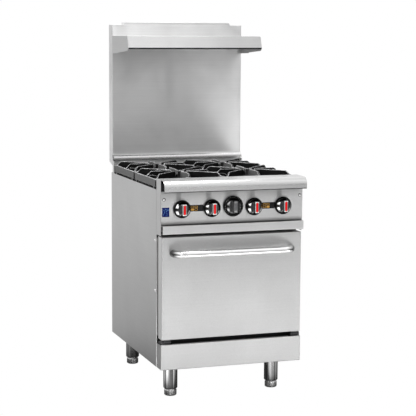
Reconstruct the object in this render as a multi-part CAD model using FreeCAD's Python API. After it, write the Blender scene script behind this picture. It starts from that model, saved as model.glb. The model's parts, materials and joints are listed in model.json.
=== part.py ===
import FreeCAD, Part
import math
import os

# Restaurant range, 24 inch class: four open gas burners over one oven.
# Origin: on the floor, centre of the width, middle of the overall depth.
# +Z up, the door faces -Y, the user's right hand is +X. Millimetres.
# Every y given to a helper is a depth counted back from the door's front face;
# at_depth() turns it into the frame's Y.

os.makedirs("parts", exist_ok=True)
Vector = FreeCAD.Vector
AXES = {"x": Vector(1, 0, 0), "y": Vector(0, 1, 0), "z": Vector(0, 0, 1)}
SIDES = (-1, 1)         # left, right

# ------------------------------------------------------- shared dimensions
HALF_WIDTH = 305.0
SKIN = 1.2              # sheet thickness of the outer skins
INNER_HALF = 303.6      # half-width of what fits between the skins
RUN = 0.05              # radial running clearance
BODY_Z0 = 139.0         # underside of the body
SIDE_Y0, SIDE_Y1, SIDE_TOP = 66.6, 765.0, 872.0
PANEL_Z0, PANEL_Z1 = 734.0, 900.0

LEG_X, LEG_FRONT_Y, LEG_REAR_Y = 225.0, 126.75, 703.5
LEG_PLACES = {"front_left": (-LEG_X, LEG_FRONT_Y), "front_right": (LEG_X, LEG_FRONT_Y),
              "rear_left": (-LEG_X, LEG_REAR_Y), "rear_right": (LEG_X, LEG_REAR_Y)}
SPIGOT_R = 15.0         # on top of each leg

SHANK_R = 1.9
SCREW_HOLE_R = SHANK_R + 0.1
SIDE_SCREW_Y, SIDE_SCREW_Z = 81.0, (456.0, 663.0)
BACK_SCREW_X, BACK_SCREW_Z = 280.0, (200.0, 500.0, 800.0)
PANEL_SCREW_X, PANEL_SCREW_Z = 293.0, 838.0

KNOB_X = (-218.0, -91.0, 91.0, 218.0)
KNOB_Z, KNOB_R = 797.0, 36.5
DIAL_Z, DIAL_R = 802.0, 42.4
STEM_R, STEM_Y = 3.0, -20.0     # STEM_Y: front end of the stems

MANIFOLD_Y, MANIFOLD_Z, MANIFOLD_R = 30.0, 770.0, 10.65
FEED_X, INLET_R, INLET_END = 272.0, 13.335, 811.5

GRATE_X, GRATE_YS = 152.0, (244.0, 564.0)
GRATE_HALF_X, GRATE_HALF_Y = 150.0, 154.0
GRATE_Z0, GRATE_Z1, FINGER_TOP = 880.0, 911.0, 929.0

BOX_HALF, BOX_Z0, BOX_BACK_Y = 301.9, 696.6, 722.0      # burner box
RAIL_TOP = 868.0
TRAY_Z0, TRAY_Z1, TRAY_LIP_Y = 698.0, 733.0, -17.0

GUARD_Y0, GUARD_Y1, GUARD_TOP = 744.0, 799.0, 1531.0
GUARD_FACE = GUARD_Y0 - 0.1     # where parts meet the backguard's front
SHELF_Z, SHELF_Y, SHELF_LOW_Z, SHELF_LOW_Y = 1483.0, 496.0, 1431.0, 478.0

MOUTH_X, MOUTH_Z0, MOUTH_Z1 = 252.0, 303.0, 655.0
CAVITY_X, CAVITY_BACK, CAVITY_TOP = 254.8, 636.0, 654.8
LINER_Z0 = 182.0
LINER_X = CAVITY_X + SKIN
OVEN_FLOOR_Z = 300.0
COLLAR_X, COLLAR_Z0, COLLAR_Z1 = 102.0, 558.0, 602.0    # flue outlet
RACK_LEDGES = (380.0, 450.0, 520.0, 590.0)
RACK_LEVEL = 1
BULB_X, BULB_Z = -246.0, 640.0
CAPILLARY_Y = 75.0

DOOR_HALF, DOOR_Z0, DOOR_Z1, DOOR_DEPTH = 302.0, 263.0, 684.0, 48.0
DOOR_FILL_Z = (DOOR_Z0 + 3, DOOR_Z1 - 3)
HINGE_Y, HINGE_Z, PIN_R = 8.0, 253.5, 4.0
SPRING_X, SPRING_Z0, SPRING_Z1 = 280.0, 150.0, HINGE_Z - 42
HANDLE_X, HANDLE_Y, HANDLE_Z = 253.0, -45.5, 618.5
HANDLE_R, HANDLE_BEND = 16.0, 44.0

# from the handle's front to the end of the gas inlet, halved
DEPTH_MID = (INLET_END + HANDLE_Y - HANDLE_R) / 2


# ----------------------------------------------------------------- helpers
def at_depth(y):
    return y - DEPTH_MID


def box(x0, x1, y0, y1, z0, z1):
    return Part.makeBox(x1 - x0, y1 - y0, z1 - z0, Vector(x0, at_depth(y0), z0))


def mid_box(half, y0, y1, z0, z1):
    """A box centred on the width."""
    return box(-half, half, y0, y1, z0, z1)


def side_box(side, inner, outer, y0, y1, z0, z1):
    """A box between two distances from the centre, on one side."""
    x0, x1 = sorted((side * inner, side * outer))
    return box(x0, x1, y0, y1, z0, z1)


def cyl(radius, length, x, y, z, axis="z"):
    return Part.makeCylinder(radius, length, Vector(x, at_depth(y), z), AXES[axis])


def cone(radius0, radius1, length, x, y, z, axis="z"):
    return Part.makeCone(radius0, radius1, length, Vector(x, at_depth(y), z), AXES[axis])


def join(shapes):
    joined = shapes[0]
    if len(shapes) > 1:
        joined = joined.fuse(shapes[1:])
    return joined.removeSplitter()


def mirror(shape):
    return shape.mirror(Vector(0, 0, 0), Vector(1, 0, 0))


def rect(a0, a1, b0, b1):
    return [(a0, b0), (a1, b0), (a1, b1), (a0, b1)]


def place(plane, level, point):
    """A 2-D point of a plane, put at that plane's level along its normal."""
    a, b = point
    return {"yz": Vector(level, at_depth(a), b), "xz": Vector(a, at_depth(level), b),
            "xy": Vector(a, at_depth(b), level)}[plane]


def direction(start, end):
    """The 2-D unit vector from start to end."""
    length = math.dist(start, end)
    return (end[0] - start[0]) / length, (end[1] - start[1]) / length


def corner_arc(before, corner, after, radius):
    """Start, end and middle of a corner's arc; a sharp corner has no middle."""
    if radius <= 0:
        return corner, corner, None
    back, ahead = direction(corner, before), direction(corner, after)
    half_angle = math.acos(back[0] * ahead[0] + back[1] * ahead[1]) / 2
    inward = direction((0, 0), (back[0] + ahead[0], back[1] + ahead[1]))

    def along(way, distance):
        return corner[0] + way[0] * distance, corner[1] + way[1] * distance

    trim = radius / math.tan(half_angle)
    sag = radius / math.sin(half_angle) - radius
    return along(back, trim), along(ahead, trim), along(inward, sag)


def outline(points, radii, plane, level):
    """A closed wire through 2-D points, each corner rounded by its radius."""
    count = len(points)
    corners = [corner_arc(points[i - 1], points[i], points[(i + 1) % count], radii[i])
               for i in range(count)]
    edges = []
    for i, (start, end, middle) in enumerate(corners):
        if middle is not None:
            edges.append(Part.Arc(*[place(plane, level, p) for p in (start, middle, end)]).toShape())
        following = corners[(i + 1) % count][0]
        if math.dist(following, end) > 1e-6:
            edges.append(Part.makeLine(place(plane, level, end), place(plane, level, following)))
    return Part.Wire(edges)


def prism(points, radii, plane, low, high):
    """A rounded 2-D outline carried from low to high along the plane's normal."""
    if not isinstance(radii, (list, tuple)):
        radii = [radii] * len(points)
    normal = {"yz": AXES["x"], "xz": AXES["y"], "xy": AXES["z"]}[plane]
    return Part.Face(outline(points, radii, plane, low)).extrude(normal * (high - low))


def sheet(path, bends, plane, low, high):
    """A folded skin: its thickness lies left of the path, bends are inner radii."""
    last = len(path) - 1
    if not isinstance(bends, (list, tuple)):
        bends = [bends] * (last - 1)
    ways = [direction(path[i], path[i + 1]) for i in range(last)]
    offset, path_radii, offset_radii = [], [], []
    for i in range(last + 1):
        before, after = ways[max(i - 1, 0)], ways[min(i, last - 1)]
        reach = SKIN / (1 + before[0] * after[0] + before[1] * after[1])
        offset.append((path[i][0] - (before[1] + after[1]) * reach,
                       path[i][1] + (before[0] + after[0]) * reach))
        near = far = 0
        if 0 < i < last:
            near, far = bends[i - 1], bends[i - 1] + SKIN
            if before[0] * after[1] - before[1] * after[0] > 0:
                near, far = far, near
        path_radii.append(near)
        offset_radii.append(far)
    return prism(path + offset[::-1], path_radii + offset_radii[::-1], plane, low, high)


def bent_rod(points, radius, bend):
    """A rod along a 3-D path of straight runs and circular bends."""
    path = [Vector(x, at_depth(y), z) for x, y, z in points]
    pieces, start = [], path[0]
    for i in range(1, len(path)):
        end, turning = path[i], i < len(path) - 1
        if turning:
            arriving = (path[i] - path[i - 1]).normalize()
            leaving = (path[i + 1] - path[i]).normalize()
            angle = arriving.getAngle(leaving)
            trim = bend * math.tan(angle / 2)
            end = path[i] - arriving * trim
        run = end - start
        if run.Length > 1e-6:
            pieces.append(Part.makeCylinder(radius, run.Length, start, run))
        if turning:
            axis = arriving.cross(leaving).normalize()
            centre = end + axis.cross(arriving) * bend
            section = Part.Face(Part.Wire([Part.makeCircle(radius, end, arriving)]))
            pieces.append(section.revolve(centre, axis, math.degrees(angle)))
            start = path[i] + leaving * trim
    return join(pieces)


def round_rim(shape, radius, height):
    """Fillet the full-circle edges at one height."""
    rims = [edge for edge in shape.Edges
            if len(edge.Vertexes) == 1 and abs(edge.BoundBox.ZMax - height) < 0.1]
    return shape.makeFillet(radius, rims)


def feed_hole(y, length):
    """Cutter that clears the gas feed where it runs through a sheet."""
    return cyl(15.0, length, FEED_X, y, MANIFOLD_Z, "y")


def save(name, *shapes):
    solids = [solid for shape in shapes for solid in shape.Solids]
    assert solids and all(s.isValid() and s.Volume > 0 for s in solids), name
    result = solids[0] if len(solids) == 1 else Part.makeCompound(solids)
    result.exportStep("parts/%s.step" % name)


# ------------------------------------------------------ base frame and legs
PAN_Y0, PAN_Y1, PAN_T, RIM_TOP = 68.0, 763.6, 2.0, 172.0
PAN_TOP = BODY_Z0 + PAN_T
pan = mid_box(INNER_HALF, PAN_Y0, PAN_Y1, BODY_Z0, PAN_TOP)
base = [pan.cut(mid_box(180, 200, 640, 138, 142)),
        mid_box(INNER_HALF, PAN_Y0, PAN_Y0 + PAN_T, PAN_TOP, RIM_TOP),
        mid_box(INNER_HALF, PAN_Y1 - PAN_T, PAN_Y1, PAN_TOP, RIM_TOP)]
for side in SIDES:
    base.append(side_box(side, INNER_HALF - PAN_T, INNER_HALF,
                         PAN_Y0 + PAN_T, PAN_Y1 - PAN_T, PAN_TOP, RIM_TOP))
base += [cyl(22, 24, x, y, PAN_TOP) for x, y in LEG_PLACES.values()]
base = join(base)
for x, y in LEG_PLACES.values():
    base = base.cut(cyl(SPIGOT_R + RUN, 30, x, y, 138))
# corners notched clear of the bends in the side panels
for side in SIDES:
    for y0, y1 in ((67, 70.2), (761.4, 765)):
        base = base.cut(side_box(side, 301.5, 305, y0, y1, 138, 173))
save("base_frame", base)

LEG_R, LEG_Z0 = 29.5, 30.0
FOOT_R, FOOT_TOP, FOOT_STEM_R = 26.0, 25.0, 8.0


def leg(x, y):
    """Hollow leg with a spigot on top and a bore for the foot's stem below."""
    body = round_rim(cyl(LEG_R, BODY_Z0 - LEG_Z0, x, y, LEG_Z0), 5.0, LEG_Z0)
    body = body.cut(cyl(LEG_R - 2.5, 62, x, y, 62))
    body = body.fuse(cyl(SPIGOT_R, 24, x, y, 138))
    return body.cut(cyl(FOOT_STEM_R + RUN, 60, x, y, 26)).removeSplitter()


def foot(x, y):
    body = round_rim(cyl(FOOT_R, FOOT_TOP, x, y, 0), 6.0, 0)
    body = body.fuse(cyl(FOOT_R - 2.5, LEG_Z0 - FOOT_TOP - 0.1, x, y, FOOT_TOP))
    return body.fuse(cyl(FOOT_STEM_R, 58, x, y, FOOT_TOP)).removeSplitter()


save("legs", *[leg(x, y) for x, y in LEG_PLACES.values()])
for name, (x, y) in LEG_PLACES.items():
    save("foot_" + name, foot(x, y))

# -------------------------------------------------------------- body skins
SIDE_FLANGE_X = 285.0
side_panel = sheet([(-SIDE_FLANGE_X, SIDE_Y1), (-HALF_WIDTH, SIDE_Y1),
                    (-HALF_WIDTH, SIDE_Y0), (-SIDE_FLANGE_X, SIDE_Y0)],
                   1.5, "xy", BODY_Z0, SIDE_TOP)
for z in SIDE_SCREW_Z:
    side_panel = side_panel.cut(cyl(SCREW_HOLE_R, 4, -306, SIDE_SCREW_Y, z, "x"))
# notch in the front flange for the oven gas line and the thermostat capillary
side_panel = side_panel.cut(box(-302, -284, 66, 68.5, 728, 762))
save("side_panel_left", side_panel)
save("side_panel_right", mirror(side_panel).cut(feed_hole(760, 8)))

BACK_FACE = SIDE_Y1 + SKIN
back = mid_box(300, SIDE_Y1, BACK_FACE, 142, 868).cut(feed_hole(763, 5))
for i in range(8):
    z = 230 + i * 14
    back = back.cut(prism(rect(-120, 120, z, z + 5), 2.4, "xz", 764, 767))
for side in SIDES:
    for z in BACK_SCREW_Z:
        back = back.cut(cyl(SCREW_HOLE_R, 4, side * BACK_SCREW_X, 763.9, z, "y"))
save("back_panel", back)

KICK_TOP, KICK_BACK = 244.0, 58
kick = sheet([(-HALF_WIDTH, KICK_BACK), (-HALF_WIDTH, 0), (HALF_WIDTH, 0),
              (HALF_WIDTH, KICK_BACK)], 1.8, "xy", BODY_Z0, KICK_TOP)
save("kick_panel", join([
    kick,
    mid_box(255, 0.8, 14, KICK_TOP - SKIN, KICK_TOP),        # top flange
    mid_box(284, 0.8, 66.7, BODY_Z0, BODY_Z0 + SKIN),        # bottom
    mid_box(284, 66.7, 68.0, BODY_Z0, 160)]))                # rear upstand

# oven front frame: a plate with a ring standing back around the oven mouth
FRAME_HALF, FRAME_Y, FRAME_Z0, FRAME_Z1 = 303.4, 60.0, 176.0, 697.0
plate = mid_box(FRAME_HALF, FRAME_Y, FRAME_Y + SKIN, FRAME_Z0, FRAME_Z1)
plate = plate.cut(mid_box(MOUTH_X, 59, 62, MOUTH_Z0, MOUTH_Z1))
plate = plate.cut(prism(rect(-60, 60, 180, 232), 6, "xz", 59, 62))
ring = mid_box(MOUTH_X + SKIN, 61, 73.6, MOUTH_Z0 - SKIN, MOUTH_Z1 + SKIN)
ring = ring.cut(mid_box(MOUTH_X, 60, 75, MOUTH_Z0, MOUTH_Z1))
ring = ring.cut(mid_box(300, 60, 75, MOUTH_Z1 - 0.6, MOUTH_Z1 + 5))
side_flanges = [side_box(side, FRAME_HALF - SKIN, FRAME_HALF, 61, 66.4, FRAME_Z0, FRAME_Z1)
                for side in SIDES]
save("oven_front_frame", join([
    plate, ring, *side_flanges,
    mid_box(FRAME_HALF, 61, 66.4, FRAME_Z1 - SKIN, FRAME_Z1),
    mid_box(284.6, 66, 68, FRAME_Z1 - SKIN, FRAME_Z1)]))

cheek = box(-HALF_WIDTH, -HALF_WIDTH + SKIN, 1.3, 65.0, 690, 914.6)
cheek = cheek.fuse(box(-HALF_WIDTH + SKIN, -286, 63.8, 65.0, 766, 885)).removeSplitter()
save("front_cheeks", cheek, mirror(cheek))

PANEL_FOLD = 16
panel = sheet([(PANEL_FOLD, PANEL_Z1), (0, PANEL_Z1), (0, PANEL_Z0), (PANEL_FOLD, PANEL_Z0)],
              1.2, "yz", -HALF_WIDTH, HALF_WIDTH)
for x, z in [(x, KNOB_Z) for x in KNOB_X] + [(0, DIAL_Z)]:
    panel = panel.cut(cyl(6.0, 6, x, -2, z, "y"))
for side in SIDES:
    panel = panel.cut(cyl(SCREW_HOLE_R, 6, side * PANEL_SCREW_X, -2, PANEL_SCREW_Z, "y"))
# the folded edges stop short of the cheeks
for side in SIDES:
    panel = panel.cut(side_box(side, INNER_HALF, 310, 1.25, 30, 700, 910))
save("control_panel", panel)

LEDGE_TOP, LEDGE_BACK, LEDGE_NOSE, LEDGE_LOW, LEDGE_ROLL = 916.0, 65.4, -46.5, 869.0, 26.8
ledge = sheet([(LEDGE_BACK, 888), (LEDGE_BACK, LEDGE_TOP), (LEDGE_NOSE, LEDGE_TOP),
               (LEDGE_NOSE, LEDGE_LOW), (-34, LEDGE_LOW)],
              [1.5, LEDGE_ROLL, 1.5], "yz", -HALF_WIDTH, HALF_WIDTH)
for side in SIDES:
    ledge = ledge.cut(side_box(side, INNER_HALF, 310, 60, 70, 880, 914.7))
save("landing_ledge", ledge)

# burner box: side walls, tray guides, grate rails, rear posts and rear wall
BOX_T = 1.4
post = join([box(-HALF_WIDTH, -HALF_WIDTH + SKIN, 719, 743.8, 872.2, 926),
             box(-303.9, -301.8, 719, 742, 872.2, 890),
             box(-303.3, -301.8, 719, 742, 860, 890)])
half = join([box(-303.2, -301.8, 70, 742, BOX_Z0, RAIL_TOP),
             box(-BOX_HALF, -270, 112, BOX_BACK_Y, BOX_Z0, BOX_Z0 + SKIN),
             box(-BOX_HALF, -280, 70, BOX_BACK_Y, RAIL_TOP - BOX_T, RAIL_TOP),
             post])
wall = mid_box(BOX_HALF, BOX_BACK_Y, BOX_BACK_Y + BOX_T, BOX_Z0, 905)
wall = wall.fuse(mid_box(BOX_HALF, BOX_BACK_Y, 742.5, 905 - BOX_T, 905))
wall = wall.cut(feed_hole(720, 6)).cut(mid_box(112, 724.8, 743, 902, 906))
centre_rail = mid_box(10, 70, 722.1, 846, RAIL_TOP)
centre_rail = centre_rail.cut(mid_box(8.6, 60, 721, 840, RAIL_TOP - BOX_T))
front_rail = mid_box(BOX_HALF, 70, 84, RAIL_TOP - BOX_T, RAIL_TOP)
save("burner_box_frame", join([half, mirror(half), wall, centre_rail, front_rail]))

# ------------------------------------------------------ backguard and shelf
GUARD_SIDE_Z0 = 918.0       # underside of the backguard's two side walls
GUARD_INNER = 303.9
guard = join([
    sheet([(-HALF_WIDTH, GUARD_Y1), (-HALF_WIDTH, GUARD_Y0), (HALF_WIDTH, GUARD_Y0),
           (HALF_WIDTH, GUARD_Y1)], 1.5, "xy", 905.2, GUARD_TOP),
    mid_box(GUARD_INNER, GUARD_Y1 - SKIN, GUARD_Y1, GUARD_SIDE_Z0, GUARD_TOP),
    mid_box(284, GUARD_Y1 - SKIN, GUARD_Y1, RAIL_TOP + 0.2, GUARD_SIDE_Z0 + 1),
    mid_box(GUARD_INNER, GUARD_Y0 + 0.8, GUARD_Y1 - 0.8, GUARD_TOP - SKIN, GUARD_TOP)])
guard = guard.cut(mid_box(246, 747.4, 796.0, GUARD_TOP - 4, GUARD_TOP + 4))
for x in (-HALF_WIDTH, HALF_WIDTH):
    guard = guard.cut(box(x - 2, x + 2, GUARD_Y0 + 1.6, GUARD_Y1 + 1, 860, GUARD_SIDE_Z0))
save("backguard", guard)

# flue riser: a collar on the oven, a lower duct, and a wide duct in the backguard
LOWER_X, LOWER_Y0, LOWER_Y1, LOWER_Z0 = 110.0, 726.0, 762.0, 555.0
UPPER_X, UPPER_Y0, UPPER_Y1, UPPER_Z0 = 245.0, 747.6, 795.8, 930.0
riser = join([mid_box(LOWER_X, LOWER_Y0, LOWER_Y1, LOWER_Z0, 960),
              mid_box(UPPER_X, UPPER_Y0, UPPER_Y1, UPPER_Z0, GUARD_TOP - 0.2),
              mid_box(COLLAR_X, 638.6, 727, COLLAR_Z0, COLLAR_Z1)])
riser = riser.cut(join([
    mid_box(LOWER_X - SKIN, LOWER_Y0 + SKIN, LOWER_Y1 - SKIN, LOWER_Z0 + SKIN, 965),
    mid_box(UPPER_X - SKIN, UPPER_Y0 + SKIN, UPPER_Y1 - SKIN, UPPER_Z0 + SKIN, GUARD_TOP + 5),
    mid_box(COLLAR_X - SKIN, 630, 735, COLLAR_Z0 + SKIN, COLLAR_Z1 - SKIN)]))
# behind the backguard's face the lower duct narrows to meet the upper one
riser = riser.cut(mid_box(200, 700, GUARD_Y0 + SKIN + 0.4, 905, 2000))
riser = join([solid for solid in riser.Solids if solid.Volume > 1000])
step = mid_box(LOWER_X - SKIN, LOWER_Y0, UPPER_Y0, 905 - SKIN, 905)
save("flue_riser", riser.fuse(step).removeSplitter())

CAP_TOP = 1542.0
cap = prism([(-251, GUARD_TOP), (251, GUARD_TOP), (245, CAP_TOP), (-245, CAP_TOP)],
            0, "xz", 745, 798)
cap = cap.cut(prism([(-249.2, GUARD_TOP - 0.1), (249.2, GUARD_TOP - 0.1),
                     (243.6, CAP_TOP - SKIN), (-243.6, CAP_TOP - SKIN)],
                    0, "xz", 746.4, 796.6))
for i in range(6):
    x = -204 + i * 81.6
    cap = cap.cut(prism(rect(x - 33, x + 33, 757, 786), 6, "xy", CAP_TOP - 4, CAP_TOP + 2))
save("flue_cap", cap)

save("stub_rail", sheet([(GUARD_FACE, 940), (GUARD_FACE, 954), (724, 954), (724, 930),
                         (731, 930)], [1.0, 9.0, 1.0], "yz", -HALF_WIDTH, HALF_WIDTH))
save("high_shelf", sheet([(GUARD_FACE, 1462), (GUARD_FACE, SHELF_Z), (SHELF_Y, SHELF_Z),
                          (SHELF_LOW_Y, SHELF_LOW_Z), (SHELF_LOW_Y + 13, SHELF_LOW_Z - 2)],
                         [1.2, 1.6, 1.2], "yz", -303.7, 303.7))

# depth, z round the gusset's outline
GUSSET = [(GUARD_FACE, SHELF_Z - 0.1), (SHELF_Y + 0.2, SHELF_Z - 0.1),
          (SHELF_LOW_Y + 0.2, SHELF_LOW_Z), (SHELF_LOW_Y + 14, 1420),
          (640, 1411), (641, 1408), (GUARD_FACE, 1405)]
gusset = prism(GUSSET, [0, 1.0, 1.5, 2, 0, 0, 0], "yz", -HALF_WIDTH, -HALF_WIDTH + SKIN)
gusset = gusset.fuse(box(-304, -288, GUARD_FACE - SKIN, GUARD_FACE, 1405, 1460))
gusset = gusset.removeSplitter()
save("shelf_gussets", gusset, mirror(gusset))

# ---------------------------------------------------------------- the oven
liner_side = box(-LINER_X, -CAVITY_X, 62, CAVITY_BACK, LINER_Z0, CAVITY_TOP)
liner_back = mid_box(LINER_X, CAVITY_BACK, CAVITY_BACK + SKIN, LINER_Z0, CAVITY_TOP)
floor_ledge_z = (OVEN_FLOOR_Z - 1.4, OVEN_FLOOR_Z)
save("oven_liner",
     liner_side.cut(cyl(2.5, 6, -258, CAPILLARY_Y, BULB_Z, "x")),
     mirror(liner_side),
     mid_box(LINER_X, 62, CAVITY_BACK + SKIN, CAVITY_TOP, CAVITY_TOP + SKIN),
     liner_back.cut(mid_box(99, 630, 640, 561, 599)),
     side_box(-1, 230, CAVITY_X, 96, 612, *floor_ledge_z),
     side_box(1, 230, CAVITY_X, 96, 612, *floor_ledge_z),
     mid_box(CAVITY_X, 612, CAVITY_BACK, *floor_ledge_z),
     mid_box(CAVITY_X, 74, 96, *floor_ledge_z))

oven_floor = mid_box(253, 76, 634, OVEN_FLOOR_Z, OVEN_FLOOR_Z + 1.5)
for side in SIDES:
    x = side * 214
    for i in range(9):
        y = 116 + i * 58
        oven_floor = oven_floor.cut(prism(rect(x - 6, x + 6, y - 20, y + 20), 5.5, "xy",
                                          OVEN_FLOOR_Z - 2, OVEN_FLOOR_Z + 4))
front_lip = mid_box(253, 76, 77.2, OVEN_FLOOR_Z + 1, OVEN_FLOOR_Z + 9)
save("oven_floor", oven_floor.fuse(front_lip).removeSplitter())

insulation = mid_box(288, 76, 690, LINER_Z0, 690)
insulation = insulation.cut(mid_box(LINER_X + 0.3, 70, 637.5, 100, 656.3))
insulation = insulation.cut(
    mid_box(COLLAR_X + 0.4, 630, 700, COLLAR_Z0 - 0.4, COLLAR_Z1 + 0.4))
# notch for the thermostat capillary
insulation = insulation.cut(box(-300, -250, 70, 80, BULB_Z - 4, BULB_Z + 4))
save("oven_insulation", insulation)

guides = [box(-254.6, -252.6, y, y + 22, 312, 645) for y in (108, 560)]
guides.append(box(-254.6, -252.6, 108, 582, 335, 345))
guides += [prism(rect(-252.7, -240, z, z + SKIN), 0, "xz", 86, 612) for z in RACK_LEDGES]
guides = join(guides)
save("rack_guides", guides, mirror(guides))

RACK_X, RACK_Y0, RACK_Y1, RACK_ROD_R = 246, 88, 600, 3.5
RACK_Z = RACK_LEDGES[RACK_LEVEL] + SKIN + RACK_ROD_R + 0.1
rack = [bent_rod([(0, RACK_Y0, RACK_Z), (x, RACK_Y0, RACK_Z), (x, RACK_Y1, RACK_Z),
                  (0, RACK_Y1, RACK_Z)], RACK_ROD_R, 14) for x in (-RACK_X, RACK_X)]
rack.append(cyl(3.0, 490, -245, (RACK_Y0 + RACK_Y1) / 2, RACK_Z, "x"))
for i in range(13):
    rack.append(cyl(2.2, 517.0, -228 + i * 38, 85.5, RACK_Z + 4.2, "y"))
# raised stop rod across the rear
rack.append(bent_rod([(-237, RACK_Y1, RACK_Z), (-237, RACK_Y1, RACK_Z + 26),
                      (237, RACK_Y1, RACK_Z + 26), (237, RACK_Y1, RACK_Z)], 2.8, 10))
save("oven_rack", join(rack))

# oven burner: a tube with a flared front and a row of side ports, on two posts
OVEN_BURNER_Z = 208.0
burner = cyl(19, 470, 0, 130, OVEN_BURNER_Z, "y").cut(cyl(17, 466, 0, 128, OVEN_BURNER_Z, "y"))
flare = cone(27, 19, 18, 0, 116, OVEN_BURNER_Z, "y")
burner = burner.fuse(flare.cut(cone(25, 17, 18.2, 0, 115.9, OVEN_BURNER_Z, "y")))
for i in range(14):
    burner = burner.cut(cyl(2.0, 60, -30, 180 + i * 29, OVEN_BURNER_Z + 4, "x"))
save("oven_burner", join([burner] + [mid_box(6, y, y + 7.5, PAN_TOP, 195) for y in (555, 148)]))

save("oven_pilot", join([
    box(26, 44, 150, 152, 150, 226),            # upright bracket
    cyl(4, 34, 35, 148, 196),                   # pilot tube
    cyl(5.5, 8, 35, 148, 230),                  # pilot head
    cyl(2.6, 46, 41, 156, 186),                 # rod beside it
    box(30, 44, 146, 158, 200, 204),            # clip
    box(26, 60, 150, 152, PAN_TOP, 152)]))      # bracket foot

BUTTON_X, BUTTON_Z, BUTTON_R = -14.0, 205.0, 4.0
valve = join([box(-26, 26, 75, 105, 184, 226), cyl(12, 12, 0, 76, 226),
              cyl(8, 10, 0, 104, OVEN_BURNER_Z, "y"), cyl(9, 12, 25, 90, 200, "x")])
valve = valve.cut(cyl(BUTTON_R + RUN, 22, BUTTON_X, 74, BUTTON_Z, "y"))
save("safety_valve", join([valve, box(-26, -23, 104, 140, 184, 187),
                           box(-26, -14, 136, 140, PAN_TOP, 187)]))
save("safety_reset_button", join([cyl(7.0, 6, BUTTON_X, 58, BUTTON_Z, "y"),
                                  cyl(BUTTON_R, 24, BUTTON_X, 64, BUTTON_Z, "y")]))

# thermostat: body and ports, then a capillary down the left side to the bulb
thermostat = join([box(-22, 22, 12, 55, 781.4, 824), cyl(11, 5, 0, 7.5, DIAL_Z, "y"),
                   cyl(6.2, 4, 10, 48, 777.8), cyl(4, 4, -10, 48, 777.8)])
thermostat = thermostat.cut(cyl(STEM_R + RUN, 20, 0, 7, DIAL_Z, "y"))
CAPILLARY = [(-10, 48, 779), (-10, 48, 750), (-294, 48, 750), (-294, CAPILLARY_Y, 750),
             (-294, CAPILLARY_Y, BULB_Z), (BULB_X, CAPILLARY_Y, BULB_Z), (BULB_X, 120, BULB_Z)]
save("oven_thermostat", join([thermostat, bent_rod(CAPILLARY, 1.2, 8),
                              cyl(4.2, 110, BULB_X, 119, BULB_Z, "y")]))

# --------------------------------------------------------------- gas train
manifold = join([
    bent_rod([(-286, MANIFOLD_Y, MANIFOLD_Z), (FEED_X, MANIFOLD_Y, MANIFOLD_Z),
              (FEED_X, 712, MANIFOLD_Z)], MANIFOLD_R, 16),
    cyl(13.2, 12, -292, MANIFOLD_Y, MANIFOLD_Z, "x"),       # end cap
    cyl(17.5, 20, FEED_X, 700, MANIFOLD_Z, "y"),            # coupling
    cyl(13.0, 50, FEED_X, 718, MANIFOLD_Z, "y"),
    cyl(INLET_R, INLET_END - 766.5, FEED_X, 766.5, MANIFOLD_Z, "y")])
save("gas_manifold", manifold.cut(cyl(10.5, 40, FEED_X, INLET_END - 40, MANIFOLD_Z, "y")))

# cutter that seats valves and pilot lines on the manifold
manifold_run = cyl(MANIFOLD_R, 600, -300, MANIFOLD_Y, MANIFOLD_Z, "x")


def burner_valve(x):
    body = join([cyl(10, 42, x, 9, KNOB_Z, "y"), cyl(11.5, 12, x, 22, KNOB_Z, "y"),
                 cyl(6.5, 26, x, MANIFOLD_Y, 771), cyl(8.5, 5, x, MANIFOLD_Y, 782),
                 cone(7, 5, 8, x, 51, KNOB_Z, "y"), cyl(6, 3, x, 6.5, KNOB_Z, "y")])
    body = body.cut(manifold_run).cut(cyl(STEM_R + RUN, 24, x, 5, KNOB_Z, "y"))
    return body.removeSplitter()


def stem(x, z, length):
    """A stem with a flat on top of its front end."""
    return cyl(STEM_R, length, x, STEM_Y, z, "y").cut(
        box(x - 4, x + 4, STEM_Y - 1, -6, z + 1.8, z + 4))


def knob(x, z, skirt_r, grip_width, grip_height, depth):
    """A round skirt and a bar grip, bored to fit the stem."""
    disc = cone(skirt_r - 5, skirt_r, 5, x, -11, z, "y").fuse(cyl(skirt_r, 4, x, -6, z, "y"))
    disc = disc.fuse(cyl(15.5, 5, x, -16, z, "y"))
    half_w, half_h = grip_width / 2, grip_height / 2
    grip = prism(rect(x - half_w, x + half_w, z - half_h, z + half_h), 4.0, "xz", -depth, -10.5)
    return join([disc, grip]).cut(stem(x, z, 18.1))


save("burner_valves", *[burner_valve(x) for x in KNOB_X])
for number, x in enumerate(KNOB_X, 1):
    save("valve_stem_%d" % number, stem(x, KNOB_Z, 46))
    save("burner_knob_%d" % number, knob(x, KNOB_Z, KNOB_R, 19.0, 48.0, 38.0))
save("thermostat_dial", knob(0.0, DIAL_Z, DIAL_R, 18.0, 50.0, 34.0))
save("thermostat_stem", stem(0, DIAL_Z, 44))

# valve x, burner x, burner depth
BURNERS = [(KNOB_X[0], -GRATE_X, GRATE_YS[0]), (KNOB_X[1], -GRATE_X, GRATE_YS[1]),
           (KNOB_X[2], GRATE_X, GRATE_YS[1]), (KNOB_X[3], GRATE_X, GRATE_YS[0])]
BURNER_Z = KNOB_Z - 5       # axis height of the venturi at the burner
BOWL_TOP = BURNER_Z + 42


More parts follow.
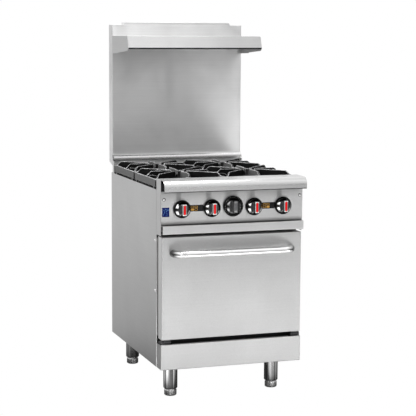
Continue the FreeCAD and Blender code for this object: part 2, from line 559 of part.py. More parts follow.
def venturi(valve_x, x, y):
    """A flared mixing tube from the valve to a bowl under the burner head."""
    start = Vector(valve_x, at_depth(63), KNOB_Z)
    run = Vector(x, at_depth(y), BURNER_Z) - start
    length = run.Length
    run.normalize()
    outer = Part.makeCylinder(14, length, start, run).fuse(Part.makeCone(21, 14, 18, start, run))
    hole = Part.makeCylinder(11.5, length - 2, start, run)
    hole = hole.fuse(Part.makeCone(19, 11.5, 18, start - run * 0.1, run))
    neck = cyl(18, 34, x, y, BURNER_Z - 14)
    bowl = cone(22, 46, 16, x, y, BURNER_Z + 20).fuse(cyl(46, 6, x, y, BURNER_Z + 36))
    body = outer.fuse([neck, bowl]).cut(hole)
    body = body.cut(cyl(13, 38, x, y, BURNER_Z - 2)).cut(cyl(40, 10, x, y, BURNER_Z + 33))
    return body.removeSplitter()


def burner_head(x, y):
    """A stepped cap with 24 radial ports, spigoted into the bowl."""
    head = cyl(49, 8, x, y, BOWL_TOP + 0.1).fuse(cone(49, 34, 9, x, y, BOWL_TOP + 8.1))
    head = head.fuse(cyl(34, 3, x, y, BOWL_TOP + 17)).fuse(cyl(38, 8, x, y, BOWL_TOP - 6))
    head = head.cut(cyl(30, 16, x, y, BOWL_TOP - 7))
    ports = []
    for i in range(24):
        port = Part.makeBox(60, 2.6, 4.2, Vector(34, -1.3, 0))
        port.rotate(Vector(0, 0, 0), AXES["z"], 15 * i)
        port.translate(Vector(x, at_depth(y), BOWL_TOP + 2.4))
        ports.append(port)
    return head.cut(Part.makeCompound(ports)).removeSplitter()


save("burner_venturis", *[venturi(*burner) for burner in BURNERS])
save("burner_heads", *[burner_head(x, y) for _, x, y in BURNERS])


def pilot_line(side):
    """Tube from the manifold to a standing pilot between front and rear burners."""
    x, start_x, y = side * GRATE_X, side * 60, 404
    line = bent_rod([(start_x, MANIFOLD_Y, 781.5), (start_x, MANIFOLD_Y, 822),
                     (start_x, 300, 822), (x, y, 822), (x, y, 846)], 3.2, 12)
    line = join([line, cyl(6.5, 12, x, y, 846), cyl(3.0, 4, x, y, 858),
                 box(x - 7, x + 7, 396, 398, 836, 850), box(x - 2, x + 2, 396, 402, 838, 846)])
    return line.cut(manifold_run)


OVEN_LINE_X = 293.5
oven_line = bent_rod([(10, 48, 777.6), (10, 48, 742), (OVEN_LINE_X, 48, 742),
                      (OVEN_LINE_X, 90, 742), (OVEN_LINE_X, 90, 168), (56, 90, 168),
                      (56, 90, 200), (37.2, 90, 200)], 4.8, 14)
save("gas_tubing", pilot_line(-1), pilot_line(1), oven_line)

# -------------------------------------------------------------- crumb tray
TRAY_X, TRAY_BACK, TRAY_RIM = 285.0, 700.0, 716.0
tray_lip = sheet([(-2, TRAY_Z1), (TRAY_LIP_Y, TRAY_Z1), (TRAY_LIP_Y, TRAY_Z0), (1, TRAY_Z0)],
                 1.4, "yz", -HALF_WIDTH, HALF_WIDTH)
save("crumb_tray", join([
    tray_lip,
    mid_box(TRAY_X, 0.5, TRAY_BACK, TRAY_Z0, TRAY_Z0 + SKIN),
    mid_box(TRAY_X, TRAY_BACK - SKIN, TRAY_BACK, TRAY_Z0, TRAY_RIM),
    side_box(-1, TRAY_X - SKIN, TRAY_X, 3, TRAY_BACK, TRAY_Z0, TRAY_RIM),
    side_box(1, TRAY_X - SKIN, TRAY_X, 3, TRAY_BACK, TRAY_Z0, TRAY_RIM)]))


# ------------------------------------------------------------------ grates
def finger(centre_x, centre_y, angle, inner, outer, thick):
    """A radial rib, arched underneath near the wall, its top sloping down to it."""
    # distance from the grate's centre, z
    profile = [(inner, FINGER_TOP - 17), (inner + 5, FINGER_TOP),
               (outer - 26, FINGER_TOP), (outer - 1, GRATE_Z1 - 3),
               (outer - 1, GRATE_Z1 - 14), (outer - 22, GRATE_Z1 - 2),
               (outer - 60, GRATE_Z1 - 10), (outer - 66, GRATE_Z0 + 12),
               (inner + 14, GRATE_Z0 + 12)]
    wire = Part.makePolygon([Vector(x, 0, z) for x, z in profile + profile[:1]])
    rib = Part.Face(wire).extrude(Vector(0, thick, 0))
    rib.translate(Vector(0, -thick / 2, 0))
    rib.rotate(Vector(0, 0, 0), AXES["z"], angle)
    rib.translate(Vector(centre_x, at_depth(centre_y), 0))
    return rib


def grate(x, y):
    x0, x1, y0, y1 = x - GRATE_HALF_X, x + GRATE_HALF_X, y - GRATE_HALF_Y, y + GRATE_HALF_Y
    wall = 7.0
    ring = prism(rect(x0, x1, y0, y1), 6, "xy", GRATE_Z0, GRATE_Z1)
    ring = ring.cut(prism(rect(x0 + wall, x1 - wall, y0 + wall, y1 - wall), 4, "xy",
                          GRATE_Z0 - 1, GRATE_Z1 + 1))
    parts = [ring]
    # reach of the fingers across, diagonally, and front to back
    reaches = (GRATE_HALF_X, 208.0, GRATE_HALF_Y, 208.0)
    for i in range(8):
        inner, thick = (30.0, 7.0) if i % 2 == 0 else (38.0, 6.4)
        parts.append(finger(x, y, 45.0 * i, inner, reaches[i % 4] - 2.5, thick))
    for foot_y in (y0 + 20, y1 - 34):
        for foot_x in (x0, x1 - wall):
            parts.append(box(foot_x, foot_x + wall, foot_y, foot_y + 14,
                             RAIL_TOP + 0.2, GRATE_Z0 + 2))
    return join(parts)


for row, y in zip(("front", "rear"), GRATE_YS):
    save("grate_%s_left" % row, grate(-GRATE_X, y))
    save("grate_%s_right" % row, grate(GRATE_X, y))

# -------------------------------------------------------------------- door
shell = join([
    sheet([(-DOOR_HALF, DOOR_DEPTH), (-DOOR_HALF, 0), (DOOR_HALF, 0), (DOOR_HALF, DOOR_DEPTH)],
          2.2, "xy", DOOR_Z0, DOOR_Z1),
    mid_box(DOOR_HALF - 0.6, 0.8, DOOR_DEPTH, DOOR_Z0, DOOR_Z0 + SKIN),
    mid_box(DOOR_HALF - 0.6, 0.8, DOOR_DEPTH, DOOR_Z1 - SKIN, DOOR_Z1)])
for side in SIDES:
    shell = shell.cut(cyl(3.2, 5, side * HANDLE_X, -2, HANDLE_Z, "y"))
save("door_outer_shell", shell)

# inner panel with a hollow plug pressed back towards the oven mouth
PLUG_X, PLUG_Z0, PLUG_Z1, PLUG_R, INNER_T = 240, 317, 643, 14, 1.4
inner_panel = mid_box(299, DOOR_DEPTH, DOOR_DEPTH + INNER_T, *DOOR_FILL_Z)
plug = prism(rect(-PLUG_X, PLUG_X, PLUG_Z0, PLUG_Z1), PLUG_R, "xz", DOOR_DEPTH, 60.0)
hollow = prism(rect(-PLUG_X + INNER_T, PLUG_X - INNER_T, PLUG_Z0 + INNER_T, PLUG_Z1 - INNER_T),
               PLUG_R - INNER_T, "xz", 46.0, 60.0 - INNER_T)
save("door_inner_panel", inner_panel.fuse(plug).cut(hollow).removeSplitter())

door_fill = mid_box(299.5, 2.0, 47.6, *DOOR_FILL_Z)
for side in SIDES:
    door_fill = door_fill.cut(cyl(9, 16, side * HANDLE_X, 1.5, HANDLE_Z, "y"))
save("door_insulation", door_fill)

# handle with a stud and hexagonal nut at each end
handle = bent_rod([(-HANDLE_X, 0, HANDLE_Z), (-HANDLE_X, HANDLE_Y, HANDLE_Z),
                   (HANDLE_X, HANDLE_Y, HANDLE_Z), (HANDLE_X, 0, HANDLE_Z)],
                  HANDLE_R, HANDLE_BEND)
for side in SIDES:
    x = side * HANDLE_X
    hexagon = [(x + 7 * math.cos(math.radians(60 * i)),
                HANDLE_Z + 7 * math.sin(math.radians(60 * i))) for i in range(6)]
    handle = handle.fuse(cyl(3.0, 12, x, -1, HANDLE_Z, "y"))
    handle = handle.fuse(prism(hexagon, 0, "xz", 1.3, 6.5))
save("door_handle", handle.removeSplitter())

barrel = cyl(7.2, 30, 264, HINGE_Y, HINGE_Z, "x")
arm = join([
    barrel.cut(cyl(PIN_R + RUN, 30, 264, HINGE_Y, HINGE_Z, "x")),
    box(266, 294, HINGE_Y - 3, HINGE_Y + 3, HINGE_Z + 5.2, 262.4),
    box(264, 294, 2.6, 44, 261.6, 262.95),
    prism([(HINGE_Y - 5.5, HINGE_Z - 5.5), (HINGE_Y + 5.5, HINGE_Z - 5.5),
           (HINGE_Y + 5.5, HINGE_Z - 47), (HINGE_Y - 5.5, HINGE_Z - 47)],
          [0, 0, 4, 4], "yz", 288, 294),
    cyl(2.5, 9, SPRING_X, HINGE_Y, SPRING_Z1, "x")])        # upper spring pin
save("door_hinge_arms", arm, mirror(arm))

bracket = join([
    cyl(7.0, 3, 297, HINGE_Y, HINGE_Z, "x"),
    prism([(1.6, 143), (59.8, 143), (59.8, 246), (20, HINGE_Z + 6.8),
           (HINGE_Y, HINGE_Z + 6.8), (1.6, HINGE_Z)], [0, 0, 0, 4, 0, 0], "yz", 297, 300),
    cyl(PIN_R, 35.5, 262.5, HINGE_Y, HINGE_Z, "x"),         # hinge pin
    cyl(2.5, 18, SPRING_X, HINGE_Y, SPRING_Z0, "x")])       # lower spring pin
save("hinge_brackets", bracket, mirror(bracket))

SPRING_WIRE_R = 0.9


def coil(x, y, z0, z1, radius, turns):
    height = z1 - z0
    helix = Part.makeHelix(height / turns, height, radius)
    section = Part.Wire([Part.makeCircle(SPRING_WIRE_R, Vector(radius, 0, 0),
                                         Vector(0, 1, 0.001))])
    spring = Part.Wire(helix).makePipeShell([section], True, True)
    spring.translate(Vector(x, at_depth(y), z0))
    return spring


springs = []
for side in SIDES:
    springs.append(coil(side * 282.5, HINGE_Y, 157.5, 204.0, 4.6, 14))
    for z in (SPRING_Z0, SPRING_Z1):
        eye = Vector(side * 283.5, at_depth(HINGE_Y), z)
        springs.append(Part.makeTorus(3.8, SPRING_WIRE_R, eye, AXES["x"]))
save("door_springs", *springs)

# --------------------------------------------------- labels and fasteners
# x0, x1, z0, z1
LABELS = [(-303, -269.5, 766, 807), (-184, -127, 786, 812), (127, 184, 786, 812)]
save("label_plates", *[prism(rect(*label), 1.0, "xz", -0.6, 0.0) for label in LABELS])


def screw(x, y, z, way):
    """Pan head screw: underside of the head at the point, shank along way."""
    seat = Vector(x, at_depth(y), z)
    head = Part.makeCylinder(3.8, 1.0, seat - way, way)
    head = head.fuse(Part.makeCone(2.8, 3.8, 0.8, seat - way * 1.8, way))
    return head.fuse(Part.makeCylinder(SHANK_R, 7.0, seat, way)).removeSplitter()


screws = []
for side in SIDES:
    for z in SIDE_SCREW_Z:
        screws.append(screw(side * HALF_WIDTH, SIDE_SCREW_Y, z, Vector(-side, 0, 0)))
    screws.append(screw(side * PANEL_SCREW_X, 0, PANEL_SCREW_Z, Vector(0, 1, 0)))
    for z in BACK_SCREW_Z:
        screws.append(screw(side * BACK_SCREW_X, BACK_FACE, z, Vector(0, -1, 0)))
save("panel_screws", *screws)
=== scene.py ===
# A gas range with an oven door, four cast grates on top, a backguard with a high shelf,
# and four legs. It stands on z = 0 with its front towards -y. Left is -x, as seen from the front.
import json
import math

import bmesh
import bpy
from mathutils import Matrix, Vector

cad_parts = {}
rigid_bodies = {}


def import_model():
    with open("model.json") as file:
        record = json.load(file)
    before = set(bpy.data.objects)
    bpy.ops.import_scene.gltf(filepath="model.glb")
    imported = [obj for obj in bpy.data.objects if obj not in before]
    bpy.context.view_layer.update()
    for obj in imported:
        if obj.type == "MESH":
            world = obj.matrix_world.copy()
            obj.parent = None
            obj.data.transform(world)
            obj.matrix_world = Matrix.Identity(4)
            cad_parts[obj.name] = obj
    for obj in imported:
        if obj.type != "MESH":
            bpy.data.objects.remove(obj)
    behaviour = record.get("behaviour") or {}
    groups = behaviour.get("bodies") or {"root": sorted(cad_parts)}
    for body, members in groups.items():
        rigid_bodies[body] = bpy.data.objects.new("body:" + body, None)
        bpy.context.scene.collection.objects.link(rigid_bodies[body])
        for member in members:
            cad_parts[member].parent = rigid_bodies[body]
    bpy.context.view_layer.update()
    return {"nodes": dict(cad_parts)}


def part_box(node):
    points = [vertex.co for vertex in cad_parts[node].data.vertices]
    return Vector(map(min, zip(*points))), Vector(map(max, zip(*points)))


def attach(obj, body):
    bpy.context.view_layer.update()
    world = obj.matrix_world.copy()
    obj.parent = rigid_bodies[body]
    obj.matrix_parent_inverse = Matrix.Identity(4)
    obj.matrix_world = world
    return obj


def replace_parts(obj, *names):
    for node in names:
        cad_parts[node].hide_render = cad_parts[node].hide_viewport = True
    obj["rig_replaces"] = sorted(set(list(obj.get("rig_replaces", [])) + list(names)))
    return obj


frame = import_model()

MM = 0.001
FRONT_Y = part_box("door_outer_shell")[0].y
BODY = "range_body"

# Pieces are laid out in millimetres: x from the middle, y back from the door's front face,
# z up from the floor.
HALF_WIDTH = 305.0
GAUGE = 1.2                 # thickness of every steel sheet
SKIN_INSIDE = HALF_WIDTH - GAUGE
KNOB_XS = (-218.0, -91.0, 91.0, 218.0)
KNOB_Z = 797.0
DIAL_Z = 802.0
PANEL_SCREW_X, PANEL_SCREW_Z = 293, 838
SIDES = (("left", -1), ("right", 1))


def place(x, y, z):
    """A layout point in metres."""
    return Vector((x * MM, FRONT_Y + y * MM, z * MM))


# ---------------------------------------------------------------- shader graphs
class Graph:
    """Short calls that build a node tree. A value may be a number, a tuple or a socket."""

    def __init__(self, tree, output):
        self.tree = tree
        tree.nodes.clear()
        self.output = self.node(output).inputs[0]

    def node(self, kind, **settings):
        node = self.tree.nodes.new(kind)
        for key, value in settings.items():
            setattr(node, key, value)
        return node

    def feed(self, socket, value):
        """Links a socket in, or sets a plain value. Colours are given without alpha."""
        if isinstance(value, bpy.types.NodeSocket):
            self.tree.links.new(value, socket)
        elif isinstance(value, tuple) and socket.type == "RGBA":
            socket.default_value = (*value, 1)
        else:
            socket.default_value = value

    def split(self, kind, output):
        """The x, y and z of a node's vector output."""
        source = self.node(kind)
        parts = self.node("ShaderNodeSeparateXYZ")
        self.feed(parts.inputs[0], source.outputs[output])
        return parts.outputs

    def coords(self, scale=(1, 1, 1)):
        source = self.node("ShaderNodeTexCoord")
        mapping = self.node("ShaderNodeMapping")
        self.feed(mapping.inputs["Scale"], scale)
        self.feed(mapping.inputs["Vector"], source.outputs["Object"])
        return mapping.outputs[0]

    def noise(self, vector, scale=1.0, detail=3, rough=0.6, distortion=0.0):
        node = self.node("ShaderNodeTexNoise")
        for key, value in (("Scale", scale), ("Detail", detail), ("Roughness", rough),
                           ("Distortion", distortion), ("Vector", vector)):
            self.feed(node.inputs[key], value)
        return node.outputs["Fac"]

    def voronoi(self, vector, scale):
        node = self.node("ShaderNodeTexVoronoi", feature="F1")
        self.feed(node.inputs["Scale"], scale)
        self.feed(node.inputs["Vector"], vector)
        return node.outputs

    def ramp(self, value, stops):
        """A colour ramp; stops are (position, grey or colour)."""
        node = self.node("ShaderNodeValToRGB")
        elements = node.color_ramp.elements
        while len(elements) < len(stops):
            elements.new(0.5)
        for element, (position, tone) in zip(elements, stops):
            element.position = position
            element.color = (*tone, 1) if isinstance(tone, tuple) else (tone, tone, tone, 1)
        self.feed(node.inputs[0], value)
        return node.outputs[0]

    def remap(self, value, source, target=(0, 1)):
        """Maps the source range onto the target range."""
        node = self.node("ShaderNodeMapRange")
        for key, number in zip(("From Min", "From Max", "To Min", "To Max"), (*source, *target)):
            self.feed(node.inputs[key], number)
        self.feed(node.inputs["Value"], value)
        return node.outputs[0]

    def profile(self, value, stops):
        """A ramp whose stops are placed in the value's own units."""
        start, end = stops[0][0], stops[-1][0]
        placed = [((at - start) / (end - start), tone) for at, tone in stops]
        return self.ramp(self.remap(value, (start, end)), placed)

    def math(self, operation, *values, clamp=False):
        node = self.node("ShaderNodeMath", operation=operation, use_clamp=clamp)
        for socket, value in zip(node.inputs, values):
            self.feed(socket, value)
        return node.outputs[0]

    def add(self, first, second):
        return self.math("ADD", first, second)

    def sub(self, first, second):
        return self.math("SUBTRACT", first, second)

    def mul(self, first, second):
        return self.math("MULTIPLY", first, second)

    def mix(self, factor, first, second, mode="MIX"):
        node = self.node("ShaderNodeMix", data_type="RGBA", blend_type=mode)
        for index, value in ((0, factor), (6, first), (7, second)):
            self.feed(node.inputs[index], value)
        return node.outputs[2]

    def bump(self, height, strength, distance, normal=None):
        node = self.node("ShaderNodeBump")
        self.feed(node.inputs["Strength"], strength)
        self.feed(node.inputs["Distance"], distance)
        self.feed(node.inputs["Height"], height)
        if normal is not None:
            self.feed(node.inputs["Normal"], normal)
        return node.outputs[0]

    def edge_mask(self, radius):
        """1 near edges, where the bevelled normal leaves the true one."""
        bevel = self.node("ShaderNodeBevel", samples=4)
        self.feed(bevel.inputs["Radius"], radius)
        geometry = self.node("ShaderNodeNewGeometry")
        dot = self.node("ShaderNodeVectorMath", operation="DOT_PRODUCT")
        self.feed(dot.inputs[0], bevel.outputs[0])
        self.feed(dot.inputs[1], geometry.outputs["Normal"])
        return self.remap(dot.outputs["Value"], (0.995, 0.90))

    def around(self, stops):
        """A tone of painted reflection round the object's front centre; stops are (degrees from
        the right, factor).
        """
        x, _, z = self.split("ShaderNodeTexCoord", "Generated")
        off_x = self.sub(x, 0.5)
        off_z = self.sub(z, 0.5)
        angle = self.math("ARCTAN2", off_z, off_x)
        tone = self.ramp(self.remap(angle, (-math.pi, math.pi)),
                         [((degrees + 180) / 360, factor) for degrees, factor in stops])
        radius = self.math("SQRT", self.add(self.mul(off_x, off_x), self.mul(off_z, off_z)))
        fade = self.remap(radius, (0.26, 0.34))     # plain inside, full tone outside
        return self.add(self.mul(fade, tone), self.sub(1.0, fade))

    def white_to_camera(self, kind, tone, strength):
        """Sends the tone to every ray but the camera's own, which sees white."""
        lit = self.node(kind)
        self.feed(lit.inputs[0], tone)
        self.feed(lit.inputs[1], strength)
        white = self.node(kind)
        self.feed(white.inputs[0], (1, 1, 1))
        self.feed(white.inputs[1], 1.0)
        path = self.node("ShaderNodeLightPath")
        mix = self.node("ShaderNodeMixShader")
        self.feed(mix.inputs[0], path.outputs["Is Camera Ray"])
        self.feed(mix.inputs[1], lit.outputs[0])
        self.feed(mix.inputs[2], white.outputs[0])
        self.feed(self.output, mix.outputs[0])


class Material(Graph):
    """A material with one Principled shader."""

    def __init__(self, name):
        self.material = bpy.data.materials.new(name)
        self.material.use_nodes = True
        super().__init__(self.material.node_tree, "ShaderNodeOutputMaterial")
        self.bsdf = self.node("ShaderNodeBsdfPrincipled")
        self.feed(self.output, self.bsdf.outputs[0])

    def set(self, key, value):
        self.feed(self.bsdf.inputs[key], value)


# -------------------------------------------------------------------- materials
def steel(name, grain, base, rough, aniso, streak=1.0, smudge=1.0, wave=0.05, bands=0.0,
          shade=None, columns=None):
    """Brushed stainless sheet: grain along one axis, cloudy wear, wiping marks and a slight
    waviness. bands adds wide streaks along the grain as painted reflected stripes. shade is
    (height in metres, factor), painted light and shade by height; columns is (x, half width)
    in millimetres, painted reflections of the knobs as darker upright stripes."""
    m = Material(name)

    def stretched(along, across):
        return m.coords(tuple(along if axis == grain else across for axis in "xyz"))

    fine = m.noise(stretched(2.2, 1500.0))
    coarse = m.noise(stretched(2.2 * 1.7, 1500.0 * 0.30), detail=2, rough=0.5)
    cloud = m.noise(m.coords(), scale=4.2, rough=0.55, distortion=0.4)
    wipe = m.noise(m.coords((12, 12, 3.2)), detail=4, distortion=0.8)
    speck = m.noise(m.coords(), scale=420.0, detail=2, rough=0.5)
    brushing = m.add(m.mul(fine, 0.65), m.mul(coarse, 0.35))
    streaks = m.remap(brushing, (0.30, 0.70), (-0.040 * streak, 0.040 * streak))
    clouds = m.remap(cloud, (0.35, 0.70), (-0.020 * smudge, 0.020 * smudge))
    specks = m.remap(speck, (0.35, 0.65), (-0.02, 0.02))
    tone = m.add(m.add(streaks, clouds), m.add(specks, base))
    # wide streaks along the grain, random in place, painted in as reflected stripes
    if bands:
        wide = m.noise(stretched(1.0, 150.0), detail=2, rough=0.5)
        tone = m.add(tone, m.remap(wide, (0.36, 0.64), (-bands, bands)))
    if shade or columns:
        x, _, z = m.split("ShaderNodeTexCoord", "Object")
    if shade:
        tone = m.mul(tone, m.profile(z, shade))
    if columns:
        # painted reflections of the knobs: soft darker upright stripes standing over them
        stops = [(0.0, 0.0)]
        for centre, half in columns:
            stops += [((centre + half * reach + HALF_WIDTH) / (2 * HALF_WIDTH), level)
                      for reach, level in ((-1.3, 0.0), (-0.7, 1.0), (0.7, 1.0), (1.3, 0.0))]
        dark = m.mul(m.ramp(m.remap(x, (-0.305, 0.305)), stops),
                     m.remap(z, (0.822, 0.838), (0.0, 0.26)))
        tone = m.mul(tone, m.sub(1.0, dark))
    colour = m.node("ShaderNodeCombineColor")
    for channel in colour.inputs:
        m.feed(channel, m.mul(tone, 1.0))
    m.set("Base Color", colour.outputs[0])
    m.set("Metallic", 1.0)
    grain_rough = m.remap(brushing, (0.3, 0.7), (rough - 0.03 * streak, rough + 0.03 * streak))
    wipe_rough = m.remap(wipe, (0.45, 0.75), (0.0, 0.04 * smudge))
    m.set("Roughness", m.add(grain_rough, wipe_rough))
    m.set("Anisotropic", aniso)
    m.set("Anisotropic Rotation", 0.25)
    tangent = m.node("ShaderNodeCombineXYZ")
    for axis, socket in zip("xyz", tangent.inputs):
        m.feed(socket, 1 if axis == grain else 0)
    m.set("Tangent", tangent.outputs[0])
    slow = m.noise(m.coords(), scale=2.6, detail=1, rough=0.4)
    wavy = m.bump(slow, strength=wave, distance=0.0035)
    m.set("Normal", m.bump(brushing, strength=0.07, distance=0.00018, normal=wavy))
    return m.material


def polished(name, base, rough, marks=1.0, painted_reflection=None, ends=None):
    """Polished metal. spin paints reflected light and shade round its front, ends paints darker
    reflections by distance from the middle in x.
    """
    m = Material(name)
    cloud = m.noise(m.coords(), scale=60.0, detail=4)
    lines = m.noise(m.coords((6, 420, 420)), detail=2, rough=0.5)
    tone = m.ramp(cloud, [(0.3, base - 0.03), (0.7, base + 0.02)])
    if painted_reflection:
        tone = m.mul(tone, m.around(painted_reflection))
    if ends:
        x, _, _ = m.split("ShaderNodeTexCoord", "Object")
        tone = m.mul(tone, m.profile(m.math("ABSOLUTE", x, 0.0), ends))
    m.set("Base Color", tone)
    m.set("Metallic", 1.0)
    m.set("Roughness", m.add(m.remap(cloud, (0.4, 0.75), (rough, rough + 0.05 * marks)),
                             m.remap(lines, (0.4, 0.8), (0.0, 0.03 * marks))))
    m.set("Normal", m.bump(lines, strength=0.05, distance=0.0001))
    return m.material


def cast(name, base, worn, rough, grain, edge, metallic, spec=0.4, rubbed=0.0, painted_left_light=0.0,
         worn_from=None):
    """Cast iron: pitted skin, uneven sheen and edges lighter, partly worn metal and partly a
    painted highlight. ash greys the faces that look left with painted light; worn_from is the
    height range over which the lighter edges grow."""
    m = Material(name)
    vector = m.coords()
    skin = m.noise(vector, scale=420.0, detail=4, rough=0.65)
    cloud = m.noise(vector, scale=46.0, detail=4)
    pits = m.ramp(m.voronoi(vector, 300.0)["Distance"], [(0.0, 0.0), (0.28, 1.0)])
    # edges lighter: partly wear, partly a painted highlight
    wear = m.math("MULTIPLY", m.edge_mask(edge), m.remap(cloud, (0.32, 0.62), (0.25, 1.0)),
                  clamp=True)
    if worn_from:
        _, _, z = m.split("ShaderNodeTexCoord", "Object")
        wear = m.mul(wear, m.remap(z, worn_from, (0.12, 1.0)))
    tone = m.ramp(cloud, [(0.3, base * 0.8), (0.75, base * 1.9)])
    # painted light: faces that look left greyed
    if painted_left_light:
        x, _, _ = m.split("ShaderNodeNewGeometry", "Normal")
        tone = m.add(tone, m.remap(m.mul(x, -1.0), (0.86, 0.97), (0.0, painted_left_light)))
    m.set("Base Color", m.mix(wear, tone, (worn, worn, worn * 1.01)))
    m.set("Metallic", metallic)
    m.set("Roughness", m.remap(cloud, (0.3, 0.75), (rough - 0.08, rough + 0.10)))
    if rubbed:
        m.set("Metallic", m.mul(wear, rubbed))
    m.set("Specular IOR Level", spec)
    height = m.add(m.mul(skin, 0.6 * grain), m.mul(pits, 0.4 * grain))
    m.set("Normal", m.bump(height, strength=0.32, distance=0.00045))
    return m.material


def plastic(name, colour, rough, spec, grain, depth):
    m = Material(name)
    vector = m.coords()
    fine = m.noise(vector, scale=grain)
    cloud = m.noise(vector, scale=24.0)
    low = tuple(max(0.0, part * 0.86) for part in colour)
    high = tuple(min(1.0, part * 1.12 + 0.003) for part in colour)
    m.set("Base Color", m.ramp(cloud, [(0.3, low), (0.72, high)]))
    m.set("Roughness", m.remap(cloud, (0.35, 0.7), (rough - 0.05, rough + 0.08)))
    m.set("Specular IOR Level", spec)
    m.set("Normal", m.bump(fine, strength=depth, distance=0.0002))
    return m.material


def metal(name, colour, rough, variation, scale, bumps, metallic=1.0, edge=None, edge_colour=None):
    m = Material(name)
    vector = m.coords()
    cloud = m.noise(vector, scale=scale, detail=5)
    fine = m.noise(vector, scale=scale * 14)
    low = tuple(part * (1 - variation) for part in colour)
    high = tuple(min(1, part * (1 + variation)) for part in colour)
    tone = m.ramp(cloud, [(0.3, low), (0.72, high)])
    if edge:
        tone = m.mix(m.edge_mask(edge), tone, edge_colour)
    m.set("Base Color", tone)
    m.set("Metallic", metallic)
    m.set("Roughness", m.remap(cloud, (0.3, 0.75), (rough - 0.06, rough + 0.10)))
    m.set("Normal", m.bump(fine, strength=bumps, distance=0.0003))
    return m.material


def galvanised(name, base=0.52):
    """Zinc coating: large angular crystals, each with its own tone."""
    m = Material(name)
    vector = m.coords()
    crystals = m.voronoi(vector, 75.0)
    parts = m.node("ShaderNodeSeparateColor")
    m.feed(parts.inputs[0], crystals["Color"])
    m.set("Base Color", m.remap(parts.outputs[0], (0.0, 1.0), (base - 0.07, base + 0.08)))
    m.set("Metallic", 0.95)
    m.set("Roughness", m.remap(parts.outputs[1], (0, 1), (0.34, 0.50)))
    m.set("Normal", m.bump(m.noise(vector, scale=300.0), strength=0.08, distance=0.0003))
    return m.material


def wool(name, colour=(0.72, 0.60, 0.28)):
    m = Material(name)
    vector = m.coords()
    fibres = m.noise(m.coords((60, 60, 420)), detail=6, rough=0.7, distortion=1.2)
    lumps = m.noise(vector, scale=18.0, detail=4)
    m.set("Base Color", m.mix(fibres, tuple(part * 0.62 for part in colour),
                              tuple(min(1, part * 1.2) for part in colour)))
    m.set("Roughness", 0.95)
    m.set("Sheen Weight", 0.4)
    m.set("Normal", m.bump(m.add(fibres, lumps), strength=0.7, distance=0.004))
    return m.material


# The stainless pieces are lit and shaded copies of one brushed steel: their base tones differ
# piece by piece to paint in how brightly each is lit.
# key: name, grain axis, base tone, roughness, anisotropy, further settings of steel()
STEELS = {
    "skin_x": ("stainless_brushed_across", "x", 0.62, 0.30, 0.78, {}),
    # the panel's shade paints shade as darker bands just above the lip and under the ledge; its
    # columns entry paints the knobs' reflections above them
    "panel": ("stainless_control_panel", "x", 0.70, 0.30, 0.86, dict(
        streak=0.55,
        shade=((0.734, 0.52), (0.742, 0.68), (0.752, 0.95), (0.785, 1.0), (0.830, 1.0),
               (0.868, 0.80)),
        columns=((-232, 10), (-105, 11), (-8, 27), (84, 10), (202, 10)))),
    # painted light: the door face a little darker towards the bottom and lighter towards the top
    "door": ("stainless_door_face", "x", 0.52, 0.35, 0.86, dict(
        streak=0.6, shade=((0.263, 0.93), (0.45, 1.0), (0.684, 1.03)))),
    "kick": ("stainless_kick_face", "x", 0.50, 0.35, 0.86, dict(streak=0.6)),
    "tray": ("stainless_tray_lip", "x", 0.66, 0.32, 0.80, dict(streak=0.7)),
    "skin_side": ("stainless_side_skin", "y", 0.64, 0.32, 0.60, {}),
    "gusset": ("stainless_gusset", "y", 0.72, 0.32, 0.60, {}),
    # painted shade: the front frame near black in the gaps above and below the door
    "frame_shaded_gaps": ("oven_front_frame_dark", "x", 0.50, 0.50, 0.3, dict(
        shade=((0.240, 0.10), (0.268, 0.10), (0.276, 1.0), (0.672, 1.0), (0.680, 0.10),
               (0.720, 0.10)))),
    # a lighter copy of the door steel for its side walls: painted light along the door's edges
    "door_edge": ("stainless_door_edge", "z", 0.86, 0.36, 0.5, dict(streak=0.6)),
    # painted light: the backguard's tone set by height, lightest at its bottom and top
    "guard": ("stainless_backguard", "x", 0.89, 0.32, 0.86, dict(
        streak=1.3, smudge=3.2,
        shade=((0.90, 1.04), (1.05, 1.03), (1.20, 1.01), (1.40, 1.02), (1.53, 1.06)))),
    # painted light: the ledge's front face lightened and the band along its roll darkened to
    # narrow the highlight there; the stub rail, which wears this steel, is lightened a little
    # towards its top
    "ledge": ("stainless_ledge", "x", 0.83, 0.25, 0.60, dict(
        streak=0.6, smudge=0.3, wave=0.0,
        shade=((0.865, 1.10), (0.889, 1.11), (0.897, 0.90), (0.906, 0.80), (0.913, 0.84),
               (0.9155, 0.97), (0.930, 1.0), (0.955, 1.02)))),
    "shelf": ("stainless_shelf", "x", 0.585, 0.30, 0.65, dict(streak=0.8)),
    "cap": ("stainless_flue_cap", "x", 0.96, 0.30, 0.80, dict(streak=0.9)),
    # bands paint reflected stripes on the legs and feet
    "leg": ("stainless_leg_tube", "z", 0.50, 0.13, 0.0, dict(wave=0.0, bands=0.42)),
    "foot": ("stainless_foot", "z", 0.80, 0.30, 0.0, dict(smudge=0.5, wave=0.0, bands=0.35)),
    "frame_dark": ("stainless_inner_frame", "x", 0.40, 0.42, 0.4, {}),
    "box_sheet": ("stainless_burner_box", "y", 0.74, 0.40, 0.4, {}),
}
